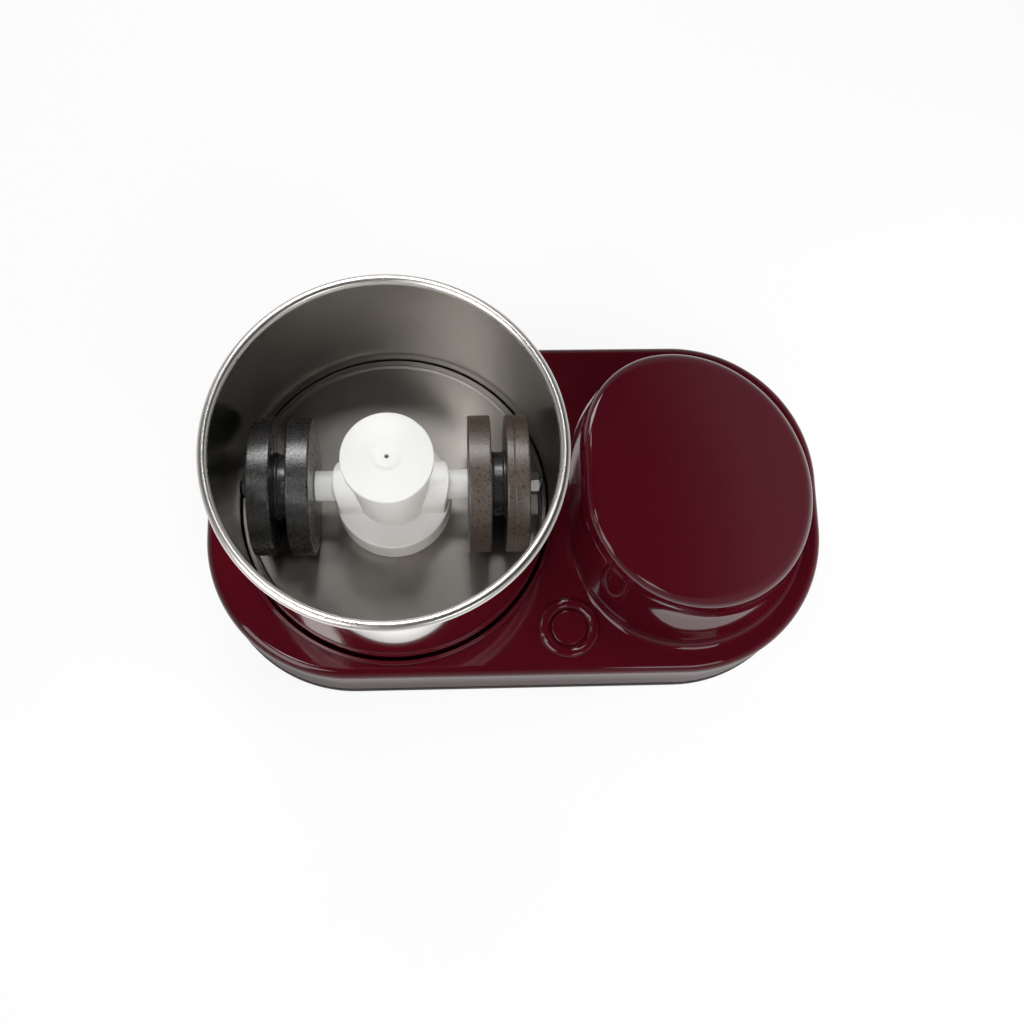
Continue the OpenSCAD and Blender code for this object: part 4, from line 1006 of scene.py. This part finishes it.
def saddle_shell(side):
    """Saddle of one arm. Each ring is a slab's section with a half-round top: straight up from the
    flange, then a half circle about the axle. The last rings follow the flange's cylinder,
    x = sqrt(R^2 - y^2), and shrink over the edge's rounding."""
    s = sizes()
    inset, sink, edge, support, root_depth = 0.0012, 0.001, 0.0009, 0.002, 0.024
    face_r = half("roller_holder", 1) - inset
    low = bottom("roller_holder") + s.flange_height - sink
    over = np.radians(np.linspace(0, 180, 33))
    rise = np.linspace(low, AXLE_Z, 6)[:-1]
    floor = np.linspace(-1, 1, 12)[1:-1]

    def section(shrink):
        """Points (y, z) of the section, drawn in by shrink."""
        r = s.saddle - shrink
        right = np.column_stack([np.full(len(rise), r), rise])
        crown = np.column_stack([r * np.cos(over), AXLE_Z + r * np.sin(over)])
        left = np.column_stack([np.full(len(rise), -r), rise[::-1]])
        under = np.column_stack([floor * r, np.full(len(floor), low)])
        return np.vstack([right, crown, left, under])

    turn = np.radians(np.linspace(0, 90, 6))
    rounding = [(edge * (1 - math.sin(a)), edge * (1 - math.cos(a))) for a in turn]
    rings = []
    for depth, shrink in [(root_depth, 0), (support, 0)] + rounding:
        flat = section(shrink)
        reach = np.sqrt(face_r ** 2 - flat[:, 0] ** 2) - depth
        rings.append(np.column_stack([DRUM_X + side * reach, flat]))
    for share in (0.8, 0.4):
        flat = section(edge)
        y = flat[:, 0] * share
        z = AXLE_Z + (flat[:, 1] - AXLE_Z) * share
        rings.append(np.column_stack([DRUM_X + side * np.sqrt(face_r ** 2 - y ** 2), y, z]))
    return capped_shell(np.stack(rings))


def holder_shell():
    """Flange, neck with a drawn-in root, and bore of the roller holder as one turned shell."""
    s = sizes()
    low, high = bottom("roller_holder"), top("roller_holder")
    flange_r = half("roller_holder", 1)
    flange_z = low + s.flange_height
    clear, seat_gap, step = 0.0015, 0.0003, 0.004
    bore, tip = half("drum_chimney", 0) + clear, half("centre_shaft", 0)
    seat = top("thrust_washer") + seat_gap
    root, collar_z = s.neck_radius - step, flange_z + step
    path = profile([(bore, low, 0.0004), (flange_r, low, 0.0015), (flange_r, flange_z, 0.0011),
                    (root, flange_z, 0.0012), (root, collar_z, 0.0008), (s.neck_radius, collar_z, 0.0028),
                    (s.neck_radius, high, 0.0015), (tip, high, 0.0004),
                    (tip, seat, 0.0), (bore, seat, 0.0)])
    return ring_shell(revolved(path, DRUM_X, count=176))


def arm_shell(side):
    """Arm that carries an axle: a turned stub whose end is cupped around the axle's washer."""
    s = sizes()
    root, stone_gap, cup_gap = 0.03, 0.0003, 0.0002
    end = half("roller_holder", 0)
    lip = abs(middle("left_inner_stone", 0) - DRUM_X) - half("left_inner_stone", 0) - stone_gap
    cup = half("axle_washers", 2) + cup_gap
    path = profile([(0.0, 0.0, 0.0), (s.arm, 0.0, 0.0), (s.arm, lip - root, 0.0003), (cup, lip - root, 0.0),
                    (cup, end - root, 0.0), (0.0, end - root, 0.0)], closed=False)[1:-1]
    return capped_shell(turned(path, root, side, 96))


def knob_shell():
    """Lock knob: boss and disc with broken edges. The top rises as a dome, 1 - (r / edge) squared, to a
    dish, which drops by a smooth step 3 t^2 - 2 t^3 towards the middle, and a hole."""
    s = sizes()
    low, high = bottom("lock_knob"), top("lock_knob")
    disc_r, disc_z = half("lock_knob", 0), high - s.knob_disc
    boss, tip, cover = 0.02, 0.00605, high - 0.0038
    dish_r, dish, hole = 0.0102, 0.0024, 0.0014
    r = np.concatenate([np.linspace(disc_r - 0.004, dish_r, 16), np.linspace(dish_r, hole, 16)[1:]])
    step = np.clip((dish_r - r) / (0.4 * dish_r), 0, 1)
    z = high + s.knob_dome * (1 - (r / disc_r) ** 2) - dish * step ** 2 * (3 - 2 * step)
    edge = profile([(tip, cover, 0), (tip, low, 0.0003), (boss, low, 0.0005), (boss, disc_z, 0.0008),
                    (disc_r, disc_z, 0.001), (disc_r, high, 0.0011), (r[0], z[0], 0)], closed=False)
    path = np.vstack([edge, np.column_stack([r, z])[1:], [[hole, cover]]])
    return ring_shell(revolved(path, DRUM_X, count=176))


class GRINDER_OT_holder(bpy.types.Operator):
    """Builds the roller holder with its saddles and arms, and the lock knob"""

    bl_idname = "grinder.holder"
    bl_label = "Roller holder and knob"

    def execute(self, context):
        shells = [holder_shell()]
        for side in (-1, 1):
            shells += [saddle_shell(side), arm_shell(side)]
        add_piece("holder_body", shells, "roller_set", "white_nylon", ["roller_holder"])
        add_piece("knob_top", [knob_shell()], "knob", "white_nylon", ["lock_knob"])
        return {"FINISHED"}


# Rollers


def stone_shell(node, side, bore, band=None):
    """Stone disc turned about the axle: ground flat faces and broken edges, and a fine groove around
    its rim at a distance of band from its inner face, where there is one."""
    s = sizes()
    radius, width = half(node, 2), 2 * half(node, 0)
    start = abs(middle(node, 0) - DRUM_X) - width / 2
    spread, depth, soft = 0.0006, 0.0004, 0.0002
    groove = [] if band is None else [
        (radius, band - spread, soft), (radius - depth, band, soft), (radius, band + spread, soft)]
    path = profile([(bore, 0, 0.0004), (radius, 0, s.stone_edge), *groove, (radius, width, s.stone_edge),
                    (bore, width, 0.0004)])
    return ring_shell(turned(path, start, side, 192))


def spool_shell(node, side, bore):
    """Spool between two stones: a waist between two low shoulders."""
    radius, width = half(node, 2), 2 * half(node, 0)
    start = abs(middle(node, 0) - DRUM_X) - width / 2
    waist, shoulder, slope = radius - 0.0012, 0.001, 0.002
    path = profile([(bore, 0, 0), (radius, 0, 0.0003), (radius, shoulder, 0.0005), (waist, slope, 0.0008),
                    (waist, width - slope, 0.0008), (radius, width - shoulder, 0.0005),
                    (radius, width, 0.0003), (bore, width, 0)])
    return ring_shell(turned(path, start, side, 128))


def rod_shell(side):
    """Axle with a thread at its end. The radius over the thread falls by a triangle wave of the
    distance along the axle plus the angle's share of a pitch."""
    s = sizes()
    radius = half("axle_rods", 2)
    end = half("axle_rods", 0)
    start, thread, chamfer = 0.0175, 0.0095, 0.0008
    depth = 0.45 * s.thread_pitch
    length = end - start
    plain = np.linspace(0, length - thread - 0.001, 4)
    cut = np.linspace(length - thread, length - chamfer, 60)
    along = np.concatenate([plain, cut, [length]])
    path = np.column_stack([np.full(len(along), radius), along])
    path[-1, 0] = radius - chamfer

    def threaded(r, d, angle):
        """Radius with the thread cut into it."""
        wave = np.abs(((d / s.thread_pitch + angle / TURN) % 1.0) * 2 - 1)
        inside = (d > length - thread) & (d < length - chamfer / 2)
        return r - np.where(inside, depth * wave, 0.0)

    return capped_shell(turned(path, start, side, 48, threaded))


def nut_shell(side):
    """Hexagon nut: flat sides at apothem / cos of the angle from each flat's middle, cut by a cone at
    both faces."""
    corner, bore = half("axle_nuts", 2), half("axle_rods", 2) + SNUG
    apothem = corner * math.cos(math.pi / 6)
    width = 0.006
    inner = float(corners("axle_nuts")[1][0]) - DRUM_X - width
    flat_turn = TURN / 6

    def hexagon(r, d, angle):
        """Radius on the hexagon, not beyond the cone."""
        flat = apothem / np.cos((angle + flat_turn / 2) % flat_turn - flat_turn / 2)
        cone = apothem + 0.0001 + 1.6 * np.minimum(d, width - d)
        return np.where(r > bore + 1e-5, np.minimum(flat, cone) * r / corner, r)

    chamfer = (0.0002, 0.0005, 0.0009)
    path = np.array([(bore, 0.0), (corner, 0.0), *((corner, d) for d in chamfer),
                     *((corner, width - d) for d in reversed(chamfer)), (corner, width), (bore, width)])
    return ring_shell(turned(path, inner, side, 96, hexagon))


class GRINDER_OT_rollers(bpy.types.Operator):
    """Builds the stones and spools of both rollers, and the axles with their nuts"""

    bl_idname = "grinder.rollers"
    bl_label = "Rollers"

    def execute(self, context):
        for name, side, stone in (("left", -1, "granite_dark"), ("right", 1, "granite_brown")):
            bore = half(name + "_bushes", 2) + SNUG
            body = "roller_" + name
            for place in ("inner", "outer"):
                node = "%s_%s_stone" % (name, place)
                band = 0.005 if node == "right_outer_stone" else None
                shell = stone_shell(node, side, bore, band)
                add_piece("%s_%s_disc" % (name, place), [shell], body, stone, [node])
            node = name + "_spool"
            add_piece(name + "_waist", [spool_shell(node, side, bore)], body, "black_plastic", [node])
        add_piece("axle_bolts", [rod_shell(-1), rod_shell(1)], "roller_set", "shaft_steel", ["axle_rods"])
        nuts = [nut_shell(-1), nut_shell(1)]
        add_piece("axle_hex_nuts", nuts, "roller_set", "zinc_plate", ["axle_nuts"], 25)
        return {"FINISHED"}


class GRINDER_OT_hardware(bpy.types.Operator):
    """Gives every solid that still shows the material of its slot"""

    bl_idname = "grinder.hardware"
    bl_label = "Pan, drive and hardware"

    def execute(self, context):
        for row in frame["record"]["subparts"]:
            mesh = frame["nodes"][row["node"]].data
            mesh.materials.clear()
            mesh.materials.append(material(row["material_slot"]))
        return {"FINISHED"}


# Stage


def camera_matrix(stage):
    """Place of the camera: a point on a sphere around its target, looking in, turned by its roll."""
    a, e, roll = stage.azimuth, stage.elevation, stage.roll
    back = np.array([math.sin(a) * math.cos(e), -math.cos(a) * math.cos(e), math.sin(e)])
    level = np.cross(-back, (0, 0, 1))
    level /= np.linalg.norm(level)
    upright = np.cross(level, -back)
    right = math.cos(roll) * level + math.sin(roll) * upright
    up = math.cos(roll) * upright - math.sin(roll) * level
    place = np.array(stage.target) + back * stage.distance
    rows = np.eye(4)
    rows[:3, :] = np.column_stack([right, up, back, place])
    return Matrix(rows.tolist())


def facing(place, target):
    """Matrix at a place whose -Z axis points at a target."""
    back = np.array(place, float) - np.array(target, float)
    back /= np.linalg.norm(back)
    side = np.cross((0, 1, 0) if abs(back[2]) > 0.99 else (0, 0, 1), back)
    side /= np.linalg.norm(side)
    rows = np.eye(4)
    rows[:3, :] = np.column_stack([side, np.cross(back, side), back, place])
    return Matrix(rows.tolist())


def add_lamp(name, place, size, power, mirrored):
    """A soft rectangular lamp aimed at the object, which gloss mirrors or not."""
    lamp = bpy.data.lights.new(name, "AREA")
    lamp.shape = "RECTANGLE"
    lamp.size, lamp.size_y = size
    lamp.energy = power
    holder = bpy.data.objects.new(name, lamp)
    holder.matrix_world = facing(place, LAMPS_AIM)
    holder.visible_glossy = mirrored
    bpy.context.scene.collection.objects.link(holder)


def ray(g, kind):
    """A number that says what ray looks: 1 for a ray of that kind, or how often it was scattered."""
    return g.node("ShaderNodeLightPath", {}, {}, kind)


def stage_floor():
    """White floor disc. It keeps the object's shadow, shows as white to the camera, and shows in
    mirrors as white that fades out far away and, as a painted shadow, next to the base; mirrors also see its
    paint as a darker grey, a painted shade."""
    radius, depth = 3.0, 0.02
    grid = revolved(np.array([(radius, 0.0), (radius, -depth)]), 0.0, count=96)
    floor = bpy.data.objects.new("stage_floor", mesh_of("stage_floor", [capped_shell(grid)]))
    bpy.context.scene.collection.objects.link(floor)
    made = bpy.data.materials.new("floor_white")
    made.use_nodes = True
    g = Graph(made.node_tree)
    mirrored = (ray(g, "Is Glossy Ray") + ray(g, "Is Transmission Ray")).clamped()
    beyond = g.outside_base()
    near_scale, seen_by_camera, seen_in_mirrors = 20, 0.87, 0.95
    # Painted shadow: in mirrors the floor's white fades out next to the base's outline.
    near = g.ramp(beyond * near_scale, (0.1, 0.0), (0.36, 1.0))
    far = g.ramp(beyond, (0.1, 1.0), (0.5, 0.6), (1.0, 0.4))
    # Painted shade: mirror rays see the floor's paint as a darker grey (0.3) than the camera does.
    grey = g.mix(mirrored, (0.86, 0.86, 0.86), (0.3, 0.3, 0.3))
    paint = g.node("ShaderNodeBsdfDiffuse", {}, {"Color": grey})
    glow = g.node("ShaderNodeEmission", {}, {"Color": (1, 1, 1, 1), "Strength": 1.0})
    seen = seen_by_camera * ray(g, "Is Camera Ray") + seen_in_mirrors * mirrored * near * far
    g.surface(g.node("ShaderNodeMixShader", {}, {0: seen, 1: paint, 2: glow}))
    floor.data.materials.append(made)


def stage_world(stage):
    """World: an even light for diffuse rays, white for the camera, and for glossy rays a pale horizon
    that darkens upwards, as in a studio with a dark ceiling. Metal that a diffuse surface sees throws
    back an even, stronger light."""
    world = bpy.data.worlds.new("studio")
    world.use_nodes = True
    g = Graph(world.node_tree)
    direction = g.node("ShaderNodeTexCoord", {}, {}, "Generated")
    height = g.node("ShaderNodeSeparateXYZ", {}, {"Vector": direction}, "Z")
    camera = ray(g, "Is Camera Ray")
    glossy = ray(g, "Is Glossy Ray")
    second = ray(g, "Diffuse Depth").clamped()
    wall = g.ramp(height, (0.0, 0.4), (0.3, 0.36), (0.5, 0.28), (0.55, 0.12), (0.6, 0.03), (1.0, 0.012))
    mirrored = second * stage.bounce + (1 - second) * wall
    level = camera + (1 - camera) * (glossy * mirrored + (1 - glossy) * stage.ambient)
    light = g.node("ShaderNodeBackground", {}, {"Color": (1, 1, 1, 1), "Strength": level})
    g.node("ShaderNodeOutputWorld", {}, {"Surface": light})
    bpy.context.scene.world = world


class GRINDER_OT_stage(bpy.types.Operator):
    """Builds the floor, world, lamps and camera"""

    bl_idname = "grinder.stage"
    bl_label = "Stage"

    def execute(self, context):
        scene = context.scene
        stage = scene.grinder_stage
        lens = bpy.data.cameras.new("photo_camera")
        lens.lens = stage.lens
        lens.sensor_width = 36.0
        camera = bpy.data.objects.new("photo_camera", lens)
        camera.matrix_world = camera_matrix(stage)
        scene.collection.objects.link(camera)
        scene.camera = camera
        stage_floor()
        stage_world(stage)
        for name, place, size, power, mirrored in LAMPS:
            add_lamp(name, place, size, getattr(stage, power), mirrored)
        scene.view_settings.view_transform = "Standard"
        return {"FINISHED"}


class GRINDER_PT_panel(bpy.types.Panel):
    """Lists the grinder's pieces in the sidebar"""

    bl_idname = "GRINDER_PT_panel"
    bl_label = "Grinder"
    bl_space_type = "VIEW_3D"
    bl_region_type = "UI"
    bl_category = "Grinder"

    def draw(self, context):
        for step in STEPS:
            self.layout.operator(step.bl_idname)


STEPS = (GRINDER_OT_stage, GRINDER_OT_housing, GRINDER_OT_lid, GRINDER_OT_button, GRINDER_OT_drum,
         GRINDER_OT_holder, GRINDER_OT_rollers, GRINDER_OT_hardware)
GROUPS = (GrinderSizes, GrinderColours, GrinderStage)


def register():
    """Registers the classes and hangs the settings on the scene."""
    for made in (*GROUPS, *STEPS, GRINDER_PT_panel):
        bpy.utils.register_class(made)
    bpy.types.Scene.grinder_sizes = bpy.props.PointerProperty(type=GrinderSizes)
    bpy.types.Scene.grinder_colours = bpy.props.PointerProperty(type=GrinderColours)
    bpy.types.Scene.grinder_stage = bpy.props.PointerProperty(type=GrinderStage)


def unregister():
    """Takes the settings and classes away again."""
    del bpy.types.Scene.grinder_stage
    del bpy.types.Scene.grinder_colours
    del bpy.types.Scene.grinder_sizes
    for made in reversed((*GROUPS, *STEPS, GRINDER_PT_panel)):
        bpy.utils.unregister_class(made)


def main():
    """Builds every piece and the stage."""
    register()
    for step in STEPS:
        group, name = step.bl_idname.split(".")
        getattr(getattr(bpy.ops, group), name)()


if __name__ == "__main__":
    main()
